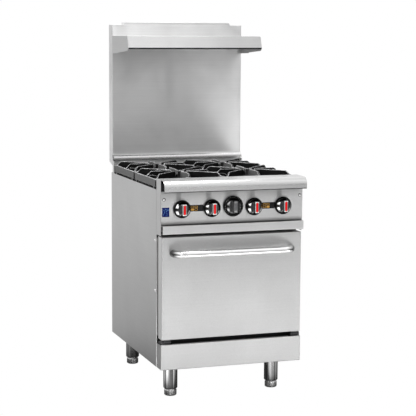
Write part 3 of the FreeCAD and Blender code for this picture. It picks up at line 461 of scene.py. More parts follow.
# key: name, colour, roughness, specular, grain scale, bump strength
PLASTICS = {
    # inside is painted shade: a near-black face for inner faces, hollows and shadow lines
    "inside": ("shadowed_inner_face", (0.012, 0.012, 0.013), 0.60, 0.12, 260.0, 0.1),
    "black": ("black_dial_ring", (0.0018, 0.0018, 0.002), 0.20, 0.10, 700.0, 0.04),
    "porcelain": ("porcelain_oven_floor", (0.030, 0.033, 0.042), 0.14, 0.6, 90.0, 0.10),
    "red": ("red_reset_button", (0.55, 0.012, 0.010), 0.28, 0.5, 500.0, 0.12),
    "index_white": ("knob_index_plate", (0.70, 0.72, 0.72), 0.22, 0.5, 300.0, 0.04),
    "index_grey": ("knob_index_field", (0.15, 0.20, 0.19), 0.34, 0.30, 300.0, 0.04),
    "index_red": ("knob_index_line", (0.66, 0.0015, 0.004), 0.40, 0.12, 300.0, 0.03),
    "film_black": ("label_black_film", (0.004, 0.004, 0.005), 0.22, 0.5, 900.0, 0.03),
    "film_orange": ("label_amber_ink", (0.62, 0.33, 0.06), 0.40, 0.4, 900.0, 0.02),
    "film_blue": ("badge_blue_film", (0.001, 0.006, 0.075), 0.35, 0.12, 260.0, 0.03),
    "film_blue_light": ("badge_blue_ink", (0.10, 0.24, 0.50), 0.35, 0.4, 260.0, 0.02),
    "tick": ("dial_white_ink", (0.62, 0.62, 0.60), 0.4, 0.5, 500.0, 0.12),
}
# key: name, colour, roughness, tone variation, noise scale, bump strength, then where they
# differ from plain metal: metallic, worn edge radius (m), worn edge colour
METALS = {
    "bar_face": ("dial_bar_face", (0.16, 0.16, 0.165), 0.38, 0.15, 60.0, 0.08, 0.8),
    "alu_sheet": ("aluminised_liner", (0.46, 0.46, 0.45), 0.42, 0.08, 22.0, 0.10),
    "brass": ("brass_valve_body", (0.66, 0.46, 0.17), 0.30, 0.14, 40.0, 0.10,
              1.0, 0.001, (0.85, 0.66, 0.32)),
    "zinc": ("zinc_plated_steel", (0.60, 0.59, 0.55), 0.30, 0.12, 35.0, 0.08),
    "pipe": ("black_gas_pipe", (0.030, 0.030, 0.032), 0.42, 0.3, 60.0, 0.22,
             0.5, 0.0012, (0.2, 0.2, 0.2)),
    "hinge": ("blackened_hinge_steel", (0.035, 0.035, 0.037), 0.45, 0.3, 60.0, 0.2,
              0.6, 0.0008, (0.25, 0.25, 0.25)),
    "tubing": ("aluminium_tubing", (0.68, 0.69, 0.70), 0.28, 0.06, 70.0, 0.06),
    "spring": ("spring_steel", (0.32, 0.32, 0.33), 0.35, 0.15, 80.0, 0.08),
    "knob_flank": ("knob_ribbed_flank", (0.075, 0.075, 0.077), 0.34, 0.25, 60.0, 0.12,
                   0.9, 0.0004, (0.25, 0.25, 0.26)),
}
# painted reflections round the knobs' fronts, light and dark arcs: (degrees from the right,
# factor)
CHROME_PAINTED_REFLECTION = (
    (-180, 0.15), (-172, 0.20), (-165, 1.0), (-140, 1.0), (-128, 0.08), (-119, 0.9),
    (-110, 0.06), (-60, 0.05), (-38, 0.40), (0, 0.62), (12, 0.35), (26, 0.05), (96, 0.04),
    (112, 0.45), (122, 1.0), (165, 1.0), (172, 0.20), (180, 0.15))
DIAL_PAINTED_REFLECTION = (
    (-180, 0.25), (-150, 0.80), (-120, 0.35), (-80, 0.10), (-40, 0.30), (0, 0.50),
    (30, 0.12), (80, 0.10), (115, 0.45), (140, 1.0), (165, 0.5), (180, 0.25))

MAT = {key: steel(*row[:-1], **row[-1]) for key, row in STEELS.items()}
MAT.update({key: plastic(*row) for key, row in PLASTICS.items()})
MAT.update({key: metal(*row) for key, row in METALS.items()})
# painted dark reflections: the handle tube darkens towards its bent ends
MAT["polished"] = polished("polished_handle_tube", base=0.93, rough=0.055,
                           ends=((0.236, 1.0), (0.250, 0.62), (0.262, 0.16), (0.270, 0.10)))
MAT["chrome"] = polished("chrome_plated_knob", base=0.92, rough=0.05, marks=0.7)
# the knob bodies and the dial take painted reflections: light and dark arcs round their fronts
MAT["chrome_body"] = polished("chrome_knob_body", base=0.94, rough=0.05, marks=0.7,
                              painted_reflection=CHROME_PAINTED_REFLECTION)
MAT["gun"] = polished("dark_chrome_dial", base=0.52, rough=0.16, marks=0.8, painted_reflection=DIAL_PAINTED_REFLECTION)
MAT["wire"] = polished("plated_rack_wire", base=0.70, rough=0.16, marks=1.2)
# the grates: top edges near white, partly worn iron and partly painted highlight; faces that look
# left greyed with painted light
MAT["iron"] = cast("cast_iron_grate", base=0.003, worn=1.0, rough=0.50, grain=1.0, edge=0.0034,
                   metallic=0.0, spec=0.08, rubbed=0.10, painted_left_light=0.055, worn_from=(0.900, 0.908))
MAT["iron_raw"] = cast("cast_iron_burner", base=0.030, worn=0.14, rough=0.60, grain=1.3,
                       edge=0.0012, metallic=0.3)
MAT["galv"] = galvanised("galvanised_sheet")
MAT["wool"] = wool("mineral_wool")


# ----------------------------------------------------------------- mesh helpers
def tidy(mesh, weld=0, dissolve=0):
    """Welds and dissolves within the given distances in metres, then turns faces outwards."""
    bm = bmesh.new()
    bm.from_mesh(mesh)
    if weld:
        bmesh.ops.remove_doubles(bm, verts=bm.verts, dist=weld)
    if dissolve:
        bmesh.ops.dissolve_degenerate(bm, edges=bm.edges, dist=dissolve)
    bmesh.ops.recalc_face_normals(bm, faces=bm.faces)
    bm.to_mesh(mesh)
    bm.free()


def add_object(name, data):
    ob = bpy.data.objects.new(name, data)
    bpy.context.scene.collection.objects.link(ob)
    return ob


def make(name, verts, faces):
    mesh = bpy.data.meshes.new(name)
    mesh.from_pydata([tuple(v) for v in verts], [], faces)
    mesh.validate()
    tidy(mesh)
    mesh.update()
    return add_object(name, mesh)


def discard(ob):
    mesh = ob.data
    bpy.data.objects.remove(ob)
    bpy.data.meshes.remove(mesh)


def finish(ob, keys, replaces=None, body=BODY, bevel=0, smooth_angle=32):
    """Gives a piece its materials, shading, edge bevel (mm) and place in the frame."""
    mesh = ob.data
    keys = (keys,) if isinstance(keys, str) else keys
    indices = [min(face.material_index, len(keys) - 1) for face in mesh.polygons]
    mesh.materials.clear()
    for key in keys:
        mesh.materials.append(MAT[key])
    for face, index in zip(mesh.polygons, indices):
        face.material_index = index
    mesh.shade_smooth()
    mesh.set_sharp_from_angle(angle=math.radians(smooth_angle))
    if bevel:
        edge = ob.modifiers.new("edge", "BEVEL")
        edge.width = bevel * MM
        edge.segments = 2
        edge.limit_method = "ANGLE"
        edge.angle_limit = math.radians(32)
        edge.harden_normals = True
        edge.use_clamp_overlap = True
        edge.miter_outer = "MITER_ARC"
    normals = ob.modifiers.new("normals", "WEIGHTED_NORMAL")
    normals.keep_sharp = True
    normals.weight = 60
    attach(ob, body)
    if replaces:
        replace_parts(ob, replaces)


def paint(ob, index, chosen):
    """Gives a material index to the faces that a test picks (centres in metres)."""
    for face in ob.data.polygons:
        if chosen(face):
            face.material_index = index


def fillet(corner, to_last, to_next, r, seg):
    """An arc that rounds a corner between two unit directions leading away from it."""
    angle = math.acos(max(-1, min(1, to_last.dot(to_next))))
    reach = r / math.tan(angle / 2)
    start, end = corner + to_last * reach, corner + to_next * reach
    centre = corner + (to_last + to_next).normalized() * (r / math.sin(angle / 2))
    first = math.atan2(start.y - centre.y, start.x - centre.x)
    last = math.atan2(end.y - centre.y, end.x - centre.x)
    sweep = (last - first + math.pi) % (2 * math.pi) - math.pi
    angles = [first + sweep * k / seg for k in range(seg + 1)]
    return [Vector((centre.x + r * math.cos(a), centre.y + r * math.sin(a))) for a in angles]


def rounded(points, radii, seg=6):
    """A closed 2-D outline with each corner rounded; radius 0 leaves a corner as it is."""
    points = [Vector(p) for p in points]
    if not isinstance(radii, (list, tuple)):
        radii = [radii] * len(points)
    out = []
    for i, (corner, r) in enumerate(zip(points, radii)):
        if r <= 0:
            out.append(corner)
            continue
        to_last = (points[i - 1] - corner).normalized()
        to_next = (points[(i + 1) % len(points)] - corner).normalized()
        out += fillet(corner, to_last, to_next, r, seg)
    return out


def rect(x0, x1, z0, z1, r=0.0, seg=6):
    return rounded([(x0, z0), (x1, z0), (x1, z1), (x0, z1)], r, seg)


def fold(path, bends, seg):
    """The two faces of a folded sheet as equal-length point lists. Thickness lies to the
    left of travel."""
    points = [Vector(p) for p in path]
    runs = [(b - a).normalized() for a, b in zip(points, points[1:])]
    if not isinstance(bends, (list, tuple)):
        bends = [bends] * (len(points) - 2)
    near, far = [], []
    for i, point in enumerate(points):
        before, after = runs[max(i - 1, 0)], runs[min(i, len(runs) - 1)]
        left0, left1 = Vector((-before.y, before.x)), Vector((-after.y, after.x))
        offset = point + (left0 + left1) * (GAUGE / (1 + left0.dot(left1)))
        if 0 < i < len(points) - 1 and bends[i - 1] > 0:
            r = bends[i - 1]
            turns_left = before.x * after.y - before.y * after.x > 0
            near_r, far_r = (r + GAUGE, r) if turns_left else (r, r + GAUGE)
            near += fillet(point, -before, after, near_r, seg)
            far += fillet(offset, -before, after, far_r, seg)
        else:
            near.append(point)
            far.append(offset)
    return near, far


def on_plane(plane, p, k):
    """A 2-D point on the named plane, at k along the third axis."""
    return {"yz": place(k, p[0], p[1]), "xz": place(p[0], k, p[1]),
            "xy": place(p[0], p[1], k)}[plane]


def sheet(name, path, bends, plane, lo, hi, seg=8):
    """A folded sheet swept along the axis the plane leaves out. lo and hi may be functions
    of the point. The far side of the fold takes the second material."""
    near, far = fold(path, bends, seg)
    n = len(near)
    verts = []
    for end in (lo, hi):
        verts += [on_plane(plane, p, end(p) if callable(end) else end) for p in near + far]
    hop = 2 * n
    faces = []
    for i in range(n - 1):
        faces.append((i, i + 1, hop + i + 1, hop + i))
        faces.append((n + i, hop + n + i, hop + n + i + 1, n + i + 1))
    faces.append((0, hop, hop + n, n))
    faces.append((n - 1, 2 * n - 1, hop + 2 * n - 1, hop + n - 1))
    faces += [(i, n + i, n + i + 1, i + 1) for i in range(n - 1)]
    faces += [(hop + i + 1, hop + n + i + 1, hop + n + i, hop + i) for i in range(n - 1)]
    ob = make(name, verts, faces)
    # if validation drops a face, the numbering no longer holds
    if len(ob.data.polygons) == len(faces):
        for i in range(n - 1):
            ob.data.polygons[2 * i + 1].material_index = 1
    return ob


def bands(rings, n, closed=False):
    """The quads between successive rings of n points."""
    faces = []
    for i in range(rings if closed else rings - 1):
        j = (i + 1) % rings
        faces += [(i * n + k, i * n + (k + 1) % n, j * n + (k + 1) % n, j * n + k)
                  for k in range(n)]
    return faces


def prism(name, side_a, side_b):
    """A solid between two matching outlines of 3-D points."""
    n = len(side_a)
    caps = [tuple(range(n)), tuple(range(2 * n - 1, n - 1, -1))]
    return make(name, side_a + side_b, caps + bands(2, n))


def plate(name, outline, plane, lo, hi):
    """A flat plate with a closed outline, from lo to hi along the axis the plane leaves out."""
    outline = [Vector(p) for p in outline]
    return prism(name, [on_plane(plane, p, lo) for p in outline],
                 [on_plane(plane, p, hi) for p in outline])


def span(side, a, b):
    """The x range from a to b, mirrored to one side."""
    return sorted((side * a, side * b))


def merge(name, obs):
    """Several meshes as one piece."""
    bm = bmesh.new()
    for ob in obs:
        bm.from_mesh(ob.data)
    mesh = bpy.data.meshes.new(name)
    bm.to_mesh(mesh)
    bm.free()
    for ob in obs:
        discard(ob)
    return add_object(name, mesh)


# axis: its direction, then the two directions a turn starts from and passes
AXES = {"y": (Vector((0, 1, 0)), Vector((0, 0, 1)), Vector((1, 0, 0))),
        "z": (Vector((0, 0, 1)), Vector((1, 0, 0)), Vector((0, 1, 0)))}


def lathe(name, profile, centre, axis, segs, closed=False):
    """Turns (radius, distance along the axis) pairs about it. A radius of 0 closes an end."""
    along, across, beside = AXES[axis]
    origin = place(*centre)
    verts, rings = [], []
    for r, h in profile:
        count = 1 if r <= 1e-6 else segs
        rings.append(list(range(len(verts), len(verts) + count)))
        if count == 1:
            verts.append(origin + along * h * MM)
            continue
        for k in range(segs):
            a = 2 * math.pi * k / segs
            verts.append(origin + along * h * MM
                         + (across * math.cos(a) + beside * math.sin(a)) * r * MM)
    pairs = list(zip(rings, rings[1:]))
    if closed:
        pairs.append((rings[-1], rings[0]))
    faces = []
    for p, q in pairs:
        for k in range(segs):
            k2 = (k + 1) % segs
            if len(p) == 1:
                faces.append((p[0], q[k2], q[k]))
            elif len(q) == 1:
                faces.append((p[k], p[k2], q[0]))
            else:
                faces.append((p[k], p[k2], q[k2], q[k]))
    return make(name, verts, faces)


def rod(r, y0, y1, x, z, segs):
    """A plain cylinder along y, for cutting holes."""
    return lathe("rod", [(0, y0), (r, y0), (r, y1), (0, y1)], (x, 0, z), "y", segs)


def bend_path(points, r, seg):
    """A 3-D path with each inner corner turned on radius r."""
    points = [place(*p) for p in points]
    out = [points[0]]
    for last, corner, following in zip(points, points[1:], points[2:]):
        a, b = (corner - last).normalized(), (following - corner).normalized()
        angle = a.angle(b)
        start = corner - a * (r * MM * math.tan(angle / 2))
        axis = a.cross(b).normalized()
        centre = start + axis.cross(a) * (r * MM)
        out += [centre + Matrix.Rotation(angle * k / seg, 3, axis) @ (start - centre)
                for k in range(seg + 1)]
    out.append(points[-1])
    return out


def tube(name, points, r, bend, seg, sides):
    """A rod swept along a bent path, with flat closed ends."""
    path = bend_path(points, bend, seg)
    n = len(path)
    runs = [(path[min(i + 1, n - 1)] - path[max(i - 1, 0)]).normalized() for i in range(n)]
    u = (Vector((0, 0, 1)) - runs[0] * runs[0].z).normalized()
    verts = []
    for point, run in zip(path, runs):
        u = (u - run * u.dot(run)).normalized()
        v = run.cross(u)
        for k in range(sides):
            a = 2 * math.pi * k / sides
            verts.append(point + (u * math.cos(a) + v * math.sin(a)) * (r * MM))
    caps = [tuple(range(sides - 1, -1, -1)), tuple(range((n - 1) * sides, n * sides))]
    return make(name, verts, bands(n, sides) + caps)


PAN_ROLL = 2.6      # radius of the rolled front edges
PAN_CORNER = 2.0    # radius of the outline's corners


def pan(name, x0, x1, z0, z1, corner_at, depth, stations, seg=6):
    """A shallow box pressed from one sheet, front face at y = 0, open at the back.

    corner_at gives the corner radius on the roll from (inset, share of the roll), depth
    gives a wall's depth at (x, z). stations lists extra points along the edges, which
    are 0 bottom, 1 right, 2 top and 3 left, in ring order.
    """
    mid_x, mid_z, half_x, half_z = (x0 + x1) / 2, (z0 + z1) / 2, (x1 - x0) / 2, (z1 - z0) / 2

    def ring(inset, corner):
        a, b = half_x - inset, half_z - inset
        points, radii = [], []
        for edge, (sx, sz) in enumerate(((-1, -1), (1, -1), (1, 1), (-1, 1))):
            px, pz = mid_x + sx * a, mid_z + sz * b
            points.append((px, pz))
            radii.append(corner)
            for s in stations.get(edge, ()):
                points.append((px, s) if edge % 2 else (s, pz))
                radii.append(0)
        return rounded(points, radii)

    def roll(r, k):
        """Inset and depth at step k of a quarter roll."""
        a = math.pi / 2 * k / seg
        return r * (1 - math.sin(a)), r * (1 - math.cos(a))

    loops = []
    for k in range(seg + 1):
        inset, y = roll(PAN_ROLL, k)
        loops.append([place(p.x, y, p.y) for p in ring(inset, corner_at(inset, k / seg))])
    outer, inner = ring(0, PAN_CORNER), ring(GAUGE, PAN_CORNER - GAUGE)
    for rim in (outer, inner):
        loops.append([place(q.x, depth(p.x, p.y), q.y) for p, q in zip(outer, rim)])
    for k in range(seg, -1, -1):
        inset, y = roll(PAN_ROLL - GAUGE, k)
        loops.append([place(p.x, GAUGE + y, p.y)
                      for p in ring(GAUGE + inset, 0.1 + 0.3 * k / seg)])
    n = len(outer)
    verts = [p for loop in loops for p in loop]
    back = tuple(range(len(verts) - n, len(verts)))[::-1]
    return make(name, verts, [tuple(range(n))] + bands(len(loops), n) + [back])


def screw(pos, direction, r=3.8, h=1.8, phase=0.3):
    """A pan-head screw with a cross recess, standing on a surface."""
    out = Vector(direction)
    u = Vector((0, 0, 1)).cross(out).normalized()
    v = out.cross(u)
    u, v = (u * math.cos(phase) + v * math.sin(phase), v * math.cos(phase) - u * math.sin(phase))
    origin = place(*pos)
    rings, segs = 12, 48
    recess = r * 0.62
    angles = [2 * math.pi * k / segs for k in range(segs)]
    verts = []
    for i in range(rings + 1):
        share = i / rings
        rr = r * share
        for a in angles:
            x, y = rr * math.cos(a), rr * math.sin(a)
            height = h * math.sqrt(max(0.0, 1 - (share * 0.93) ** 2.6))
            if min(abs(x), abs(y)) < 0.48 and rr < recess:
                height -= 0.95 * (1 - rr / recess) ** 0.35
            verts.append(origin + (u * x + v * y + out * height) * MM)
    verts += [origin + (u * math.cos(a) + v * math.sin(a)) * r * MM for a in angles]
    base = (rings + 1) * segs
    faces = bands(rings + 2, segs) + [tuple(range(base, base + segs))[::-1]]
    ob = make("screw", verts, faces)
    tidy(ob.data, weld=1e-7)
    return ob


def apply_modifiers(ob):
    bpy.context.view_layer.update()
    graph = bpy.context.evaluated_depsgraph_get()
    graph.update()
    mesh = bpy.data.meshes.new_from_object(ob.evaluated_get(graph))
    old = ob.data
    ob.modifiers.clear()
    ob.data = mesh
    bpy.data.meshes.remove(old)
    return ob


def boolean(ob, tools, operation="DIFFERENCE"):
    """Cuts tools from ob, or joins them to it, and removes them."""
    for tool in tools if isinstance(tools, list) else [tools]:
        modifier = ob.modifiers.new("b", "BOOLEAN")
        modifier.operation = operation
        modifier.solver = "EXACT"
        modifier.object = tool
        apply_modifiers(ob)
        discard(tool)
    tidy(ob.data, weld=2e-6, dissolve=2e-6)


def pre_bevel(ob, width, angle):
    """Bevels a part for good, before it is joined to another."""
    modifier = ob.modifiers.new("b", "BEVEL")
    modifier.width = width * MM
    modifier.segments = 2
    modifier.limit_method = "ANGLE"
    modifier.angle_limit = math.radians(angle)
    modifier.use_clamp_overlap = True
    return apply_modifiers(ob)


# -------------------------------------------------------------- door and kick panel
door = pan("door_skin", -302, 302, 263, 684,
           corner_at=lambda inset, share: PAN_CORNER * (0.2 + 0.8 * share),
           depth=lambda x, z: 48, stations={})
# painted light: the door's side walls take the lighter door_edge steel
paint(door, 1, lambda face: abs(face.normal.x) > 0.9)
finish(door, ("door", "door_edge"), "door_outer_shell", "door")

KICK_NOTCH_X = 254.95   # the top wall is deeper between these


def kick_depth(x, z):
    if z > 241.6:
        return 14 if abs(x) <= KICK_NOTCH_X else 3.4
    return 58


kick = pan("kick_panel_front", -HALF_WIDTH, HALF_WIDTH, 139, 244,
           corner_at=lambda inset, share: max(PAN_CORNER - inset,
                                              0.1 + 0.27 * PAN_CORNER * share),
           depth=kick_depth,
           stations={1: (241.5,), 2: (255.0, 254.9, -254.9, -255.0), 3: (241.5,)})
finish(kick, "kick", "kick_panel")

# ------------------------------------------------------------ side skins and cheeks
for side, sign in SIDES:
    path = [(sign * x, y) for x, y in ((285, 765), (HALF_WIDTH, 765),
                                       (HALF_WIDTH, 66.6), (285, 66.6))]
    skin = sheet("side_skin_" + side, path[::-sign], 1.5, "xy", 139, 872)
    finish(skin, ("skin_side", "frame_dark"), "side_panel_" + side, bevel=0.3)
    cheek = plate("cheek", rect(4.6, 65, 690, 914.6, 2, 5), "yz",
                  *span(sign, HALF_WIDTH, SKIN_INSIDE))
    flange = plate("flange", rect(*span(sign, SKIN_INSIDE, 288), 766, 885, 1.5), "xz", 63.8, 65)
    cheek = merge("control_cheek_" + side, [cheek, flange])
    finish(cheek, "skin_side", "front_cheeks" if sign > 0 else None, bevel=0.3)


# --------------------------------------------------------------------- control panel
def panel_half(p):
    """The panel's half width; its returns stand in a little behind the face."""
    return HALF_WIDTH if p.x < 3.0 else 303.4


panel = sheet("control_panel_face", [(16, 900), (0, 900), (0, 869.5), (0, 734), (16, 734)],
              [1.6, 0, 1.6], "yz", lambda p: -panel_half(p), panel_half)
holes = [rod(6.0, -4, 6, x, KNOB_Z, 48) for x in KNOB_XS]
holes.append(rod(6.0, -4, 6, 0, DIAL_Z, 48))
holes += [rod(2.2, -4, 6, sx * PANEL_SCREW_X, PANEL_SCREW_Z, 24) for sx in (-1, 1)]
boolean(panel, holes)
# painted shade: the panel's top, inside the ledge's hollow, takes the near-black inner face
paint(panel, 1, lambda face: face.center.z > 0.870)
finish(panel, ("panel", "inside"), "control_panel")

# ------------------------------------------------------------- rolled front ledge
ledge = sheet("landing_ledge_rolled", [(65.4, 888), (65.4, 916), (-46.5, 916), (-46.5, 871.9),
                                       (-46.5, 869), (-34, 867.4)],
              [1.5, 26.8, 0, 1.0], "yz", -HALF_WIDTH, HALF_WIDTH, seg=20)
# painted shadow line: the lowest strip of the ledge's front takes the near-black inner face
paint(ledge, 1, lambda face: face.center.z < 0.8718)
finish(ledge, ("ledge", "inside"), "landing_ledge", bevel=0.3)

# ------------------------------------------------------------------------ crumb tray
TRAY_HALF, TRAY_BACK, TRAY_Z, TRAY_TOP = 285, 700, 698, 716
TRAY_INNER, TRAY_FLOOR = TRAY_HALF - GAUGE, TRAY_Z + GAUGE
lip = sheet("lip", [(-2, 733), (-17, 733), (-17, TRAY_Z), (1, TRAY_Z)], 1.4, "yz", -302.6, 304.6)
# painted shade: the lip's top face, like its far side, takes the near-black inner face
paint(lip, 1, lambda face: face.normal.z > 0.9 and face.center.z > 0.7325)
tray = [lip, plate("floor", rect(-TRAY_HALF, TRAY_HALF, 0.6, TRAY_BACK), "xy",
                   TRAY_Z, TRAY_FLOOR)]
for x0, x1, y0 in ((-TRAY_HALF, -TRAY_INNER, 3), (TRAY_INNER, TRAY_HALF, 3),
                   (-TRAY_INNER, TRAY_INNER, TRAY_BACK - GAUGE)):
    tray.append(plate("wall", rect(x0, x1, TRAY_FLOOR, TRAY_TOP), "xz", y0, TRAY_BACK))
finish(merge("crumb_tray_drawer", tray), ("tray", "inside"), "crumb_tray", "tray",
       bevel=0.25)

# ---------------------------------------------- rear rail, backguard, shelf and flue cap
GUARD_FRONT, GUARD_BACK, GUARD_TOP = 744, 799, 1531
GUARD_TOUCH = 743.9     # just clear of the backguard's front
GUARD_INNER = 303.7     # half width of what fits between the backguard's sides

stub = sheet("stub_rail_rolled", [(GUARD_TOUCH, 940), (GUARD_TOUCH, 954), (724, 954),
                                  (724, 930), (731, 930)],
             [1.0, 15.0, 1.0], "yz", -HALF_WIDTH, HALF_WIDTH, seg=14)
# painted shade: the stub rail's far side takes the near-black inner face
finish(stub, ("ledge", "inside"), "stub_rail", bevel=0.3)

guard = sheet("guard", [(-HALF_WIDTH, GUARD_BACK), (-HALF_WIDTH, GUARD_FRONT),
                        (HALF_WIDTH, GUARD_FRONT), (HALF_WIDTH, GUARD_BACK)],
              1.5, "xy", lambda p: 918.0 if p.y > 747 else 905.2, GUARD_TOP)
LID_Z = GUARD_TOP - GAUGE
rear = plate("rear", [(-284, 868.2), (284, 868.2), (284, 918), (GUARD_INNER, 918),
                      (GUARD_INNER, LID_Z), (-GUARD_INNER, LID_Z), (-GUARD_INNER, 918),
                      (-284, 918)], "xz", GUARD_BACK - GAUGE, GUARD_BACK)
lid = plate("lid", rect(-GUARD_INNER, GUARD_INNER, 745.3, 797.7), "xy", LID_Z, GUARD_TOP)
boolean(lid, plate("opening", rect(-246, 246, 747.4, 796), "xy", 1520, 1540))
finish(merge("backguard_box", [guard, rear, lid]), ("guard", "frame_dark"),
       "backguard", bevel=0.25)

shelf = sheet("high_shelf_plate", [(GUARD_TOUCH, 1462), (GUARD_TOUCH, 1483), (496, 1483),
                                   (479.04, 1434.0), (478, 1431), (491, 1427.4)],
              [1.2, 0, 1.2, 1.0], "yz", -GUARD_INNER, GUARD_INNER, seg=10)
# painted shadow line: the shelf's bottom return takes the near-black inner face
paint(shelf, 2, lambda face: face.center.z < 1.4338)
finish(shelf, ("shelf", "skin_x", "inside"), "high_shelf", bevel=0.25)

# (y, z) round a gusset, with the corner radii
GUSSET = [(GUARD_TOUCH, 1482.9), (496.2, 1482.9), (478.2, 1431), (492, 1420), (640, 1411),
          (641, 1408), (GUARD_TOUCH, 1405)]
GUSSET_RADII = [0, 1.0, 2.5, 4, 3, 1, 0]
for side, sign in SIDES:
    web = plate("web", rounded(GUSSET, GUSSET_RADII, 5), "yz",
                *span(sign, HALF_WIDTH, SKIN_INSIDE))
    flange = plate("flange", rect(*span(sign, SKIN_INSIDE, 288), 1405, 1460, 1.5), "xz",
                   GUARD_TOUCH - GAUGE, GUARD_TOUCH)
    finish(merge("shelf_gusset_" + side, [web, flange]), "gusset",
           "shelf_gussets" if sign > 0 else None, bevel=0.3)

cap = plate("flue_cap_cover", [(-251, 1531), (251, 1531), (245, 1542), (-245, 1542)], "xz",
            745, 798)
cutters = [plate("hollow", [(-249.2, 1530), (249.2, 1530), (243.6, 1540.8), (-243.6, 1540.8)],
                 "xz", 746.2, 796.8)]
SLOTS, SLOT_PITCH = 6, 81.6
for i in range(SLOTS):
    x = (i - (SLOTS - 1) / 2) * SLOT_PITCH
    cutters.append(plate("slot", rect(x - 33, x + 33, 757, 786, 6), "xy", 1535, 1546))
boolean(cap, cutters)
finish(cap, "cap", "flue_cap", bevel=0.25)

# ----------------------------------------------------------------------- door handle
HANDLE_X, HANDLE_Y, HANDLE_Z, HANDLE_END = 253.0, -45.5, 618.5, 0.6
handle = tube("handle_tube", [(-HANDLE_X, HANDLE_END, HANDLE_Z), (-HANDLE_X, HANDLE_Y, HANDLE_Z),
                              (HANDLE_X, HANDLE_Y, HANDLE_Z), (HANDLE_X, HANDLE_END, HANDLE_Z)],
              r=16.0, bend=44, seg=28, sides=48)
finish(handle, "polished", "door_handle", "door", bevel=0.25, smooth_angle=40)

# --------------------------------------------------------------------- legs and feet
LEG_X, LEG_FRONT_Y, LEG_REAR_Y = 225.0, 126.75, 703.5
LEGS = (("front_left", -LEG_X, LEG_FRONT_Y), ("front_right", LEG_X, LEG_FRONT_Y),
        ("rear_left", -LEG_X, LEG_REAR_Y), ("rear_right", LEG_X, LEG_REAR_Y))
QUARTER = [math.pi / 2 * k / 6 for k in range(7)]
# (radius, z) up the tube, round its bottom edge, past a fine groove and down the bore
LEG_PROFILE = (
    [(8.6, 30), (24.5, 30)]
    + [(24.5 + 5 * math.sin(a), 35 - 5 * math.cos(a)) for a in QUARTER[1:]]
    + [(29.5, 60), (29.5, 90), (29.5, 120), (29.5, 133.5), (29.5, 134.2), (28.9, 134.6),
       (28.9, 135.2), (29.5, 135.6), (29.5, 138.9), (8.6, 138.9)])
# (radius, z) of the foot cup and the stem that rises into the tube
FOOT_PROFILE = (
    [(0, 0), (20.0, 0)]
    + [(20.0 + 6 * math.cos(a - math.pi / 2), 6 + 6 * math.sin(a - math.pi / 2))
       for a in QUARTER]
    + [(26.0, 22.6), (25.7, 24.0), (24.9, 24.8), (23.5, 25.0), (23.5, 29.85), (8.0, 29.85),
       (8.0, 82), (7.2, 83), (0, 83)])
legs = merge("leg_tubes", [lathe("leg", LEG_PROFILE, (x, y, 0), "z", 80, closed=True)
                           for _, x, y in LEGS])
finish(legs, "leg", "legs", bevel=0.3)
for corner, x, y in LEGS:
    foot = lathe("foot_cup_" + corner, FOOT_PROFILE, (x, y, 0), "z", 80)
    finish(foot, "foot", "foot_" + corner, "foot_%s_body" % corner)

# ------------------------------------------------------------- knobs and oven dial
SCOOP_R = 8.6       # radius of the hollow beside the bar
SCOOP_GAP = 8.0     # from the bar's flank out to the hollow's centre
SCOOP_RIB = 0.32    # height of its ribs


def scoop_tool(x, y, z):
    """A ribbed cylinder along z that hollows one flank of a knob."""
    points = []
    for k in range(96):
        a = 2 * math.pi * k / 96
        r = SCOOP_R + (SCOOP_RIB if k % 2 == 0 else 0.0)
        points.append((x + r * math.cos(a), y + r * math.sin(a)))
    return plate("scoop", points, "xy", z - 55, z + 55)


def knob_grip(name, profile, scoop_y, bar_w, bar_h, face_y, x, z, keys, body):
    """A knob's upper part: a sloping body, ribbed hollows for finger and thumb, and an
    upright bar across its face. The profile is (radius, y)."""
    points = [Vector(p) for p in profile]
    soft = points[:2]
    for a, b, c in zip(points[1:], points[2:], points[3:]):
        for t in (0, 0.25, 0.5, 0.75, 1):
            p, q = b + (a - b) * 0.22, b + (c - b) * 0.22
            soft.append(p * (1 - t) ** 2 + b * 2 * t * (1 - t) + q * t * t)
    soft.append(points[-1])
    grip = lathe(name, [(p.x, p.y) for p in soft], (x, 0, z), "y", 112)
    half = bar_w / 2
    offset = half + SCOOP_GAP
    for side in (-1, 1):
        boolean(grip, scoop_tool(x + side * offset, scoop_y, z))
    bar = plate("bar", rect(x - half, x + half, z - bar_h / 2, z + bar_h / 2, 4.0), "xz",
                face_y, -14.0)
    boolean(grip, pre_bevel(bar, width=0.8, angle=50), "UNION")
    boolean(grip, rod(3.4, -22, -9, x, z, 32))
    for key in keys:
        grip.data.materials.append(MAT[key])
    for side in (-1, 1):
        centre = place(x + side * offset, scoop_y, z)

        def in_hollow(face):
            r = math.hypot(face.center.x - centre.x, face.center.y - centre.y) / MM
            return abs(r - SCOOP_R - 0.15) < 0.35 and abs(face.normal.z) < 0.3

        paint(grip, 1, in_hollow)
    grip.data.shade_smooth()
    grip.data.set_sharp_from_angle(angle=math.radians(22))
    grip.modifiers.new("n", "WEIGHTED_NORMAL").keep_sharp = True
    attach(grip, body)


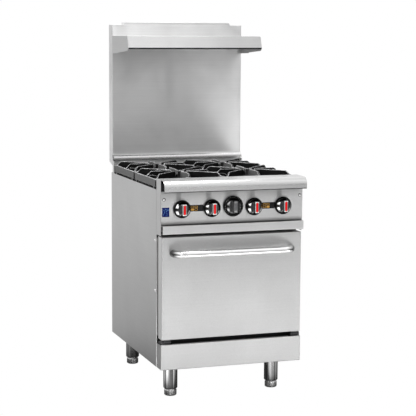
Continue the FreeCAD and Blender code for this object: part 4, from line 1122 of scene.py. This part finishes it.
# (radius, y) sections
KNOB_SKIRT = [(4.2, -2.3), (35.0, -2.3), (36.2, -2.9), (36.5, -4.1), (36.3, -6.2), (35.4, -8.2),
              (33.6, -9.8), (31.8, -10.7), (30.0, -11.0), (4.2, -11.0)]
KNOB_BODY = [(0, -10.9), (30.6, -10.9), (31.3, -13.4), (27.6, -17.6), (21.0, -24.6),
             (14.0, -30.4), (6.0, -34.0), (0, -34.6)]
DIAL_BEZEL = [(4.2, -2.3), (40.6, -2.3), (42.0, -3.0), (42.4, -4.4), (42.1, -7.4),
              (41.1, -9.6), (39.3, -11.0), (36.5, -11.8), (33.6, -11.6), (32.4, -11.0),
              (4.2, -11.0)]
DIAL_BODY = [(0, -10.9), (31.8, -10.9), (32.4, -13.0), (29.0, -16.6), (22.5, -21.8),
             (15.0, -26.8), (7.0, -30.0), (0, -30.6)]
# name, half width, half height, corner radius, corner steps, y range, material, slot, bevel
KNOB_INDEX = (
    ("plate", 8.2, 22.6, 2.8, 6, -38.7, -37.9, "index_white", "chrome_knob", 0.25),
    ("field", 8.0, 17.6, 1.2, 6, -38.95, -38.6, "index_grey", "chrome_knob", 0.1),
    ("line", 4.3, 20.0, 4.2, 8, -39.4, -38.6, "index_red", "red_button", 0.2))


def burner_knob(number, x):
    body = "knob_%d" % number
    skirt = lathe(body + "_skirt", KNOB_SKIRT, (x, 0, KNOB_Z), "y", 112, closed=True)
    finish(skirt, "black", "burner_knob_%d" % number, body)
    knob_grip(body + "_grip", KNOB_BODY, scoop_y=-30.0, bar_w=19.0, bar_h=48.0, face_y=-38.0,
              x=x, z=KNOB_Z, keys=("chrome_body", "knob_flank"), body=body)
    for name, w, h, r, seg, y0, y1, key, slot, bevel in KNOB_INDEX:
        part = plate("%s_index_%s" % (body, name),
                     rect(x - w, x + w, KNOB_Z - h, KNOB_Z + h, r, seg), "xz", y0, y1)
        finish(part, key, body=body, bevel=bevel)


def oven_dial():
    bezel = lathe("thermostat_bezel", DIAL_BEZEL, (0, 0, DIAL_Z), "y", 128, closed=True)
    finish(bezel, "black", "thermostat_dial", "dial")
    knob_grip("thermostat_grip", DIAL_BODY, scoop_y=-27.0, bar_w=18.0, bar_h=50.0, face_y=-33.6,
              x=0.0, z=DIAL_Z, keys=("gun", "knob_flank"), body="dial")
    face = plate("thermostat_bar_face", rect(-7.6, 7.6, DIAL_Z - 23.4, DIAL_Z + 23.4, 2.6), "xz",
                 -34.2, -33.5)
    finish(face, "bar_face", body="dial", bevel=0.3)
    # painted highlights: bright chrome plates on the bar's top and bottom ends stand in for the
    # glints there
    ends = [plate("end", rect(-6.4, 6.4, DIAL_Z + a, DIAL_Z + b, 1.4), "xz", -34.45, -34.1)
            for a, b in ((15.5, 21.5), (-21.5, -15.5))]
    finish(merge("thermostat_bar_ends", ends), "chrome", body="dial", bevel=0.15)


def dial_scale():
    """Tick marks round the bezel, every fourth one longer and wider."""
    ticks = []
    for k in range(25):
        a = math.radians(-135 + 270 * k / 24)
        length, half = (3.4, 0.34) if k % 4 == 0 else (1.8, 0.22)
        out, across = Vector((math.sin(a), math.cos(a))), Vector((math.cos(a), -math.sin(a)))
        mid = Vector((0, DIAL_Z)) + out * (38.8 - length / 2)
        points = [mid + out * length / 2 + across * half, mid + out * length / 2 - across * half,
                  mid - out * length / 2 - across * half, mid - out * length / 2 + across * half]
        ticks.append(plate("tick", points, "xz", -11.95, -10.9))
    finish(merge("thermostat_scale", ticks), "tick", body="dial")


for number, x in enumerate(KNOB_XS, 1):
    burner_knob(number, x)
oven_dial()
dial_scale()

# ------------------------------------------------------------------- hinge pin caps
PIN_CAP = [(0, 4.6), (1.4, 4.8), (2.4, 5.6), (2.9, 7.0), (2.9, 7.6), (0, 7.6)]
pin_caps = [lathe("cap", PIN_CAP, (sx * 292.0, 0, 256.0), "y", 32) for sx in (-1, 1)]
finish(merge("hinge_pin_caps", pin_caps), "chrome")

# ---------------------------------------------------------------------------- labels
BADGE = (-303, -269.5, 766.0, 807.0)    # x range, z range
badge_x0, badge_x1, badge_z0, badge_z1 = BADGE
BORDER = 1.2
badge = plate("maker_badge_blank", rect(*BADGE, 1.2), "xz", -0.6, -0.02)
finish(badge, "film_blue", "label_plates", bevel=0.12)
border = [plate("edge", rect(*box), "xz", -0.75, -0.55) for box in (
    (badge_x0, badge_x1, badge_z0, badge_z0 + BORDER),
    (badge_x0, badge_x1, badge_z1 - BORDER, badge_z1),
    (badge_x0, badge_x0 + BORDER, badge_z0 + BORDER, badge_z1 - BORDER),
    (badge_x1 - BORDER, badge_x1, badge_z0 + BORDER, badge_z1 - BORDER))]
finish(merge("maker_badge_border", border), "tick")
# plain slanting strokes fill the badge: start x, start z, length, degrees, width
STROKES = (
    (-298, 773, 9, 62, 0.9), (-293, 781, 12, 74, 1.1), (-287, 771, 8, 28, 0.9),
    (-280, 776, 10, 100, 1.0), (-296, 795, 9, 12, 1.0), (-285, 788, 13, 48, 1.1),
    (-276, 791, 8, 70, 0.9), (-289, 799, 11, -18, 0.9), (-300, 787, 6, 90, 0.8))
strokes = []
for x, z, length, degrees, width in STROKES:
    along = Vector((math.cos(math.radians(degrees)), math.sin(math.radians(degrees))))
    across = Vector((-along.y, along.x)) * width / 2
    start = Vector((x, z))
    end = start + along * length
    strokes.append(plate("stroke", [start + across, start - across, end - across, end + across],
                         "xz", -0.72, -0.55))
finish(merge("maker_badge_strokes", strokes), "film_blue_light")

MARK_W, MARK_H, MARK_LINE = 6.2, 4.0, 1.2   # half width, half height, outline width
for side, sign in SIDES:
    strip = plate("burner_strip_" + side, rect(*span(sign, 127.0, 184.0), 786, 812, 1.2), "xz",
                  -0.6, -0.02)
    finish(strip, "film_black", bevel=0.12)
    # two-by-two squares: the lower outer one is solid, the others are outlines
    marks = []
    for ix in (-1, 1):
        for iz in (-1, 1):
            x, z = sign * 155.5 - 10.5 + ix * 7.9, 799 + iz * 5.4
            mark = plate("mark", rect(x - MARK_W, x + MARK_W, z - MARK_H, z + MARK_H, 0.8), "xz",
                         -0.8, -0.55)
            if not (ix == sign and iz == -1):
                w, h = MARK_W - MARK_LINE, MARK_H - MARK_LINE
                boolean(mark, plate("hole", rect(x - w, x + w, z - h, z + h), "xz", -1.2, 0))
            marks.append(mark)
    finish(merge("burner_marks_" + side, marks), "film_orange")

# ---------------------------------------------------------------------------- screws
screws = []
for sx in (-1, 1):
    for k, z in enumerate((456.0, 663.0)):
        screws.append(screw((sx * HALF_WIDTH, 81, z), (sx, 0, 0), r=5.6, h=3.4,
                            phase=0.4 + k * 0.5))
    screws.append(screw((sx * PANEL_SCREW_X, 0, PANEL_SCREW_Z), (0, -1, 0), r=4.6, h=2.4,
                        phase=0.7 if sx < 0 else 0.2))
    for k, z in enumerate((200.0, 500.0, 800.0)):
        screws.append(screw((sx * 280, 766.2, z), (0, 1, 0), phase=0.3 * k))
# painted shade: near-black rings round the panel screws
DIMPLE = [(4.2, -0.25), (6.7, -0.12), (6.7, 0.0), (4.2, 0.0)]
dimples = [lathe("dimple", DIMPLE, (sx * PANEL_SCREW_X, 0, PANEL_SCREW_Z), "y", 48, closed=True)
           for sx in (-1, 1)]
finish(merge("panel_screw_dimples", dimples), "inside")
finish(merge("skin_screws", screws), "chrome", "panel_screws")

# ---------------------------------------------------------------------------- grates
GRATE_X, GRATE_Y = 150.0, 154.0     # half width and half depth
GRATE_ARC = 7                       # steps round each corner
RIB_TOP = 928.6
# (inset, z, corner radius) up the wall, over the rim and into the bowl
GRATE_RIM = ((0.6, 880, 6.5), (0, 883, 7), (0, 908.4, 7), (0.5, 910.3, 6.6), (1.9, 911, 5.5),
             (4.6, 911, 4.2), (6.3, 910.2, 3.4), (7.2, 908, 3.0), (12, 903.5, 8), (30, 896, 20))


def grate_rib(angle, cx, cy, reach, diagonal):
    """An upright rib about the grate's centre, thinner towards its top."""
    top, outer = RIB_TOP, reach
    if diagonal:
        inner, thick = 36.0, 7.2
        middle = [(outer - 30, top), (outer - 27, top - 1.0), (outer - 3, top - 22),
                  (outer - 0.5, top - 25), (outer - 0.5, 899), (outer - 20, 902.0),
                  (outer - 50, 898), (outer - 75, 890)]
    else:
        inner, thick = 30.0, 8.0
        middle = [(outer - 27, top), (outer - 24, top - 1.2), (outer - 3, top - 20.5),
                  (outer - 0.5, top - 24), (outer - 0.5, 899), (outer - 16, 907.0),
                  (outer - 24, 909.8), (outer - 34, 910.0), (outer - 46, 907.0),
                  (outer - 56, 900), (outer - 60, 890)]
    # (radius, z) outline: along the top outwards, back along the underside
    outline = ([(inner, top - 13), (inner + 1.5, top - 4), (inner + 6, top - 0.4),
                (inner + 30, top)] + middle
               + [(inner + 46, 884), (inner + 20, 889), (inner + 6, 900), (inner, 910)])
    outline = [Vector(p) for p in outline]
    highest = max(p[1] for p in outline)
    c, s = math.cos(math.radians(angle)), math.sin(math.radians(angle))
    taper, taper_height = 2.2, 30.0
    sides = []
    for side in (-1, 1):
        points = []
        for r, z in outline:
            h = (thick / 2 - taper * max(0.0, 1 - (highest - z) / taper_height) / 2) * side
            points.append(place(cx + r * c - h * s, cy + r * s + h * c, z))
        sides.append(points)
    return pre_bevel(prism("rib", *sides), width=0.9, angle=30)


def grate_mesh(name, cx, cy):
    """A square rim rolling into a shallow bowl with a round opening, eight ribs, four feet."""
    def square(inset, corner):
        """A rounded rectangle, its straight sides subdivided so the bowl can turn round."""
        points = rect(cx - GRATE_X + inset, cx + GRATE_X - inset,
                      cy - GRATE_Y + inset, cy + GRATE_Y - inset, corner, GRATE_ARC)
        out = []
        for i, a in enumerate(points):
            b = points[(i + 1) % len(points)]
            out.append(a)
            if i % (GRATE_ARC + 1) == GRATE_ARC:
                out += [a + (b - a) * k / 12 for k in range(1, 12)]
        return out

    loops = [(square(inset, corner), z) for inset, z, corner in GRATE_RIM]
    bowl = loops[-1][0]

    def circle(radius):
        out = []
        for p in bowl:
            d = Vector((p.x - cx, p.y - cy))
            out.append(Vector((cx + d.x / d.length * radius, cy + d.y / d.length * radius)))
        return out

    halfway = [p + (q - p) * 0.55 for p, q in zip(bowl, circle(118))]
    opening = circle(92)
    inner_wall = square(7.0, 3.4)
    loops += [(halfway, 890.0), (circle(96), 886.6), (opening, 885.2)]
    # the underside, back out to the wall
    loops += [(opening, 881.4), (halfway, 885.6), (bowl, 891.4), (square(12, 8), 898.0),
              (inner_wall, 896.0), (inner_wall, 880.0)]
    verts = [place(p.x, p.y, z) for points, z in loops for p in points]
    casting = make(name, verts, bands(len(loops), len(bowl), closed=True))
    parts = []
    for k in range(8):
        reach = 206.5 if k % 2 else (GRATE_X if k % 4 == 0 else GRATE_Y) - 2.5
        parts.append(grate_rib(45.0 * k, cx, cy, reach, diagonal=k % 2))
    for y in (cy - GRATE_Y + 20, cy + GRATE_Y - 34):
        for side in (-1, 1):
            x0, x1 = sorted((cx + side * (GRATE_X - 0.2), cx + side * (GRATE_X - 7)))
            parts.append(plate("foot", rect(x0, x1, y, y + 14, 1.5), "xy", 868.3, 884))
    boolean(casting, parts, "UNION")
    return casting


for row, cy in (("front", 244), ("rear", 564)):
    for side, sign in SIDES:
        corner = "%s_%s" % (row, side)
        finish(grate_mesh("grate_casting_" + corner, sign * 152, cy), "iron",
               "grate_" + corner, "grate_%s_body" % corner, smooth_angle=38)

# ------------------------------------------------------------- carried-over CAD nodes
# material: the CAD nodes that keep their own mesh and wear it
CARRIED = {
    "frame_dark": ("base_frame",), "galv": ("back_panel",), "frame_shaded_gaps": ("oven_front_frame",),
    "box_sheet": ("burner_box_frame",), "porcelain": ("oven_floor",),
    "alu_sheet": ("flue_riser", "oven_liner", "oven_burner"),
    "wool": ("oven_insulation", "door_insulation"), "wire": ("rack_guides", "oven_rack"),
    "zinc": ("oven_pilot", "oven_thermostat", "thermostat_stem", "valve_stem_1",
             "valve_stem_2", "valve_stem_3", "valve_stem_4"),
    "brass": ("safety_valve", "burner_valves"), "red": ("safety_reset_button",),
    "pipe": ("gas_manifold",), "iron_raw": ("burner_venturis", "burner_heads"),
    "tubing": ("gas_tubing",), "skin_x": ("door_inner_panel",),
    "hinge": ("door_hinge_arms", "hinge_brackets"), "spring": ("door_springs",),
}
key_of = {name: key for key, names in CARRIED.items() for name in names}
hidden = set()
for ob in bpy.data.objects:
    hidden.update(ob.get("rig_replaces", []))
for name, ob in frame["nodes"].items():
    if name not in hidden:
        ob.data.materials.clear()
        ob.data.materials.append(MAT[key_of.get(name, "frame_dark")])


# ---------------------------------------------------------------------- stage floor
def floor_material():
    """Lights the range from below by place, in metres; the camera sees it white."""
    material = bpy.data.materials.new("pale_floor")
    material.use_nodes = True
    g = Graph(material.node_tree, "ShaderNodeOutputMaterial")
    x, y, _ = g.split("ShaderNodeNewGeometry", "Position")
    front = g.ramp(g.remap(y, (-9.0, -0.4)), [(0.0, 0.50), (0.50, 0.52), (0.62, 0.60),
                                              (0.76, 0.80), (0.88, 1.0), (0.955, 1.0),
                                              (1.0, 0.75)])
    behind = g.ramp(g.remap(y, (-0.4, 5.0)), [(0.0, 0.75), (0.10, 0.34), (0.35, 0.44),
                                              (1.0, 0.66)])
    tone = g.mix(g.remap(y, (-0.42, -0.38)), front, behind)
    # painted shadow in the floor's light: darker close to the range, least so in front of it
    dx = g.sub(g.math("ABSOLUTE", x), 0.30)
    dy = g.sub(g.math("ABSOLUTE", y), 0.42)
    distance = g.math("SQRT", g.add(g.math("POWER", g.math("MAXIMUM", dx, 0.0), 2.0),
                                    g.math("POWER", g.math("MAXIMUM", dy, 0.0), 2.0)))
    near_sides = g.ramp(g.remap(distance, (0.0, 0.6)), [(0.0, 0.10), (0.35, 0.62), (1.0, 1.0)])
    near_front = g.ramp(g.remap(distance, (0.0, 0.6)), [(0.0, 0.85), (0.35, 0.92), (1.0, 1.0)])
    near = g.mix(g.remap(y, (-0.36, -0.48)), near_sides, near_front)
    # dark far out to both sides
    far_side = g.mul(g.remap(g.math("ABSOLUTE", x), (1.7, 2.8)), g.remap(y, (0.3, 1.2), (1, 0)))
    near = g.mix(far_side, near, (0.10, 0.10, 0.10))
    # a bright patch to the left
    patch_y = g.mul(g.remap(y, (0.05, -0.10)), g.remap(y, (-1.1, -0.9)))
    patch = g.mul(g.remap(x, (-0.42, -0.60)), g.mul(g.remap(x, (-1.5, -1.2)), patch_y))
    near = g.mix(patch, near, (1.9, 1.9, 1.9))
    tone = g.mix(1.0, tone, near, "MULTIPLY")
    g.white_to_camera("ShaderNodeEmission", tone, strength=1.0)
    return material


FLOOR_HALF, FLOOR_Z = 30, -0.0005   # metres
floor = make("stage_floor", [(sx * FLOOR_HALF, sy * FLOOR_HALF, FLOOR_Z) for sx, sy in
                             ((-1, -1), (1, -1), (1, 1), (-1, 1))], [(0, 1, 2, 3)])
floor.data.materials.append(floor_material())

# ----------------------------------------------------------------- world and lights
scene = bpy.context.scene


def studio_world():
    """Surroundings by direction; the camera sees them white."""
    world = bpy.data.worlds.new("studio")
    scene.world = world
    world.use_nodes = True
    g = Graph(world.node_tree, "ShaderNodeOutputWorld")
    x, y, z = g.split("ShaderNodeTexCoord", "Generated")
    # by height: dim at the horizon, brightest high up
    by_height = g.ramp(z, [(0.0, 0.30), (0.10, 0.33), (0.30, 0.46), (0.50, 0.54), (0.70, 0.68),
                           (0.82, 0.80), (0.92, 0.66), (1.0, 0.55)])
    front_to_back = g.ramp(g.remap(y, (-1, 1)), [(0.0, 1.0), (0.35, 0.90), (0.75, 0.80),
                                                 (1.0, 1.25)])
    left_to_right = g.ramp(g.remap(x, (-1, 1)), [(0.0, 1.7), (0.20, 1.6), (0.33, 0.75),
                                                 (0.45, 0.72), (0.62, 0.92), (0.69, 1.0),
                                                 (0.80, 1.0), (1.0, 0.55)])
    tone = g.mix(1.0, by_height, front_to_back, "MULTIPLY")
    tone = g.mix(1.0, tone, left_to_right, "MULTIPLY")
    # a dark band along the horizon at both sides
    sideways = g.math("ABSOLUTE", x)
    band = g.mul(g.remap(sideways, (0.55, 0.85)),
                 g.remap(g.math("ABSOLUTE", z), (0.04, 0.26), (1, 0)))
    tone = g.mix(band, tone, (0.04, 0.04, 0.04))
    g.white_to_camera("ShaderNodeBackground", tone, strength=1.7)


def area(name, location, target, size, power):
    """A rectangular light, placed in metres and aimed at its target."""
    light = bpy.data.lights.new(name, "AREA")
    light.shape = "RECTANGLE"
    light.size, light.size_y = size
    light.energy = power
    ob = add_object(name, light)
    ob.location = location
    aim = Vector(target) - Vector(location)
    ob.rotation_euler = aim.to_track_quat("-Z", "Y").to_euler()
    ob.visible_camera = False
    return ob


studio_world()
key_light = area("key", (-3.2, -1.2, 1.9), target=(0, 0, 0.9), size=(1.4, 1.6), power=170)
key_light.visible_glossy = False
area("top", (0.0, -0.4, 3.6), target=(0, 0.1, 0.9), size=(1.7, 1.1), power=46)
area("floor_strip", (0.35, -1.2, 0.02), target=(0.35, -0.55, 0.75), size=(3.0, 0.25), power=9.8)

# --------------------------------------------------------------------------- camera
AZIMUTH, ELEVATION = math.radians(-18.92), math.radians(7.89)   # towards the left, upwards
ROLL = math.radians(0.32)
DISTANCE = 5.85257              # metres from the aim point
AIM = place(0, 350, 700)

back = Vector((math.sin(AZIMUTH) * math.cos(ELEVATION),
               -math.cos(AZIMUTH) * math.cos(ELEVATION), math.sin(ELEVATION)))
right = Vector((math.cos(AZIMUTH), math.sin(AZIMUTH), 0))
up = back.cross(right)
rolled_right = right * math.cos(ROLL) + up * math.sin(ROLL)
rolled_up = up * math.cos(ROLL) - right * math.sin(ROLL)
lens = bpy.data.cameras.new("photo_camera")
lens.sensor_width = 36.0
lens.lens = 117.38
lens.shift_x = 0.0073317308
lens.shift_y = 0.0276923077
lens.clip_end = 100
camera = add_object("photo_camera", lens)
pose = Matrix((rolled_right, rolled_up, back)).transposed().to_4x4()
pose.translation = AIM + back * DISTANCE
camera.matrix_world = pose
scene.camera = camera
scene.view_settings.view_transform = "Standard"
scene.view_settings.look = "None"
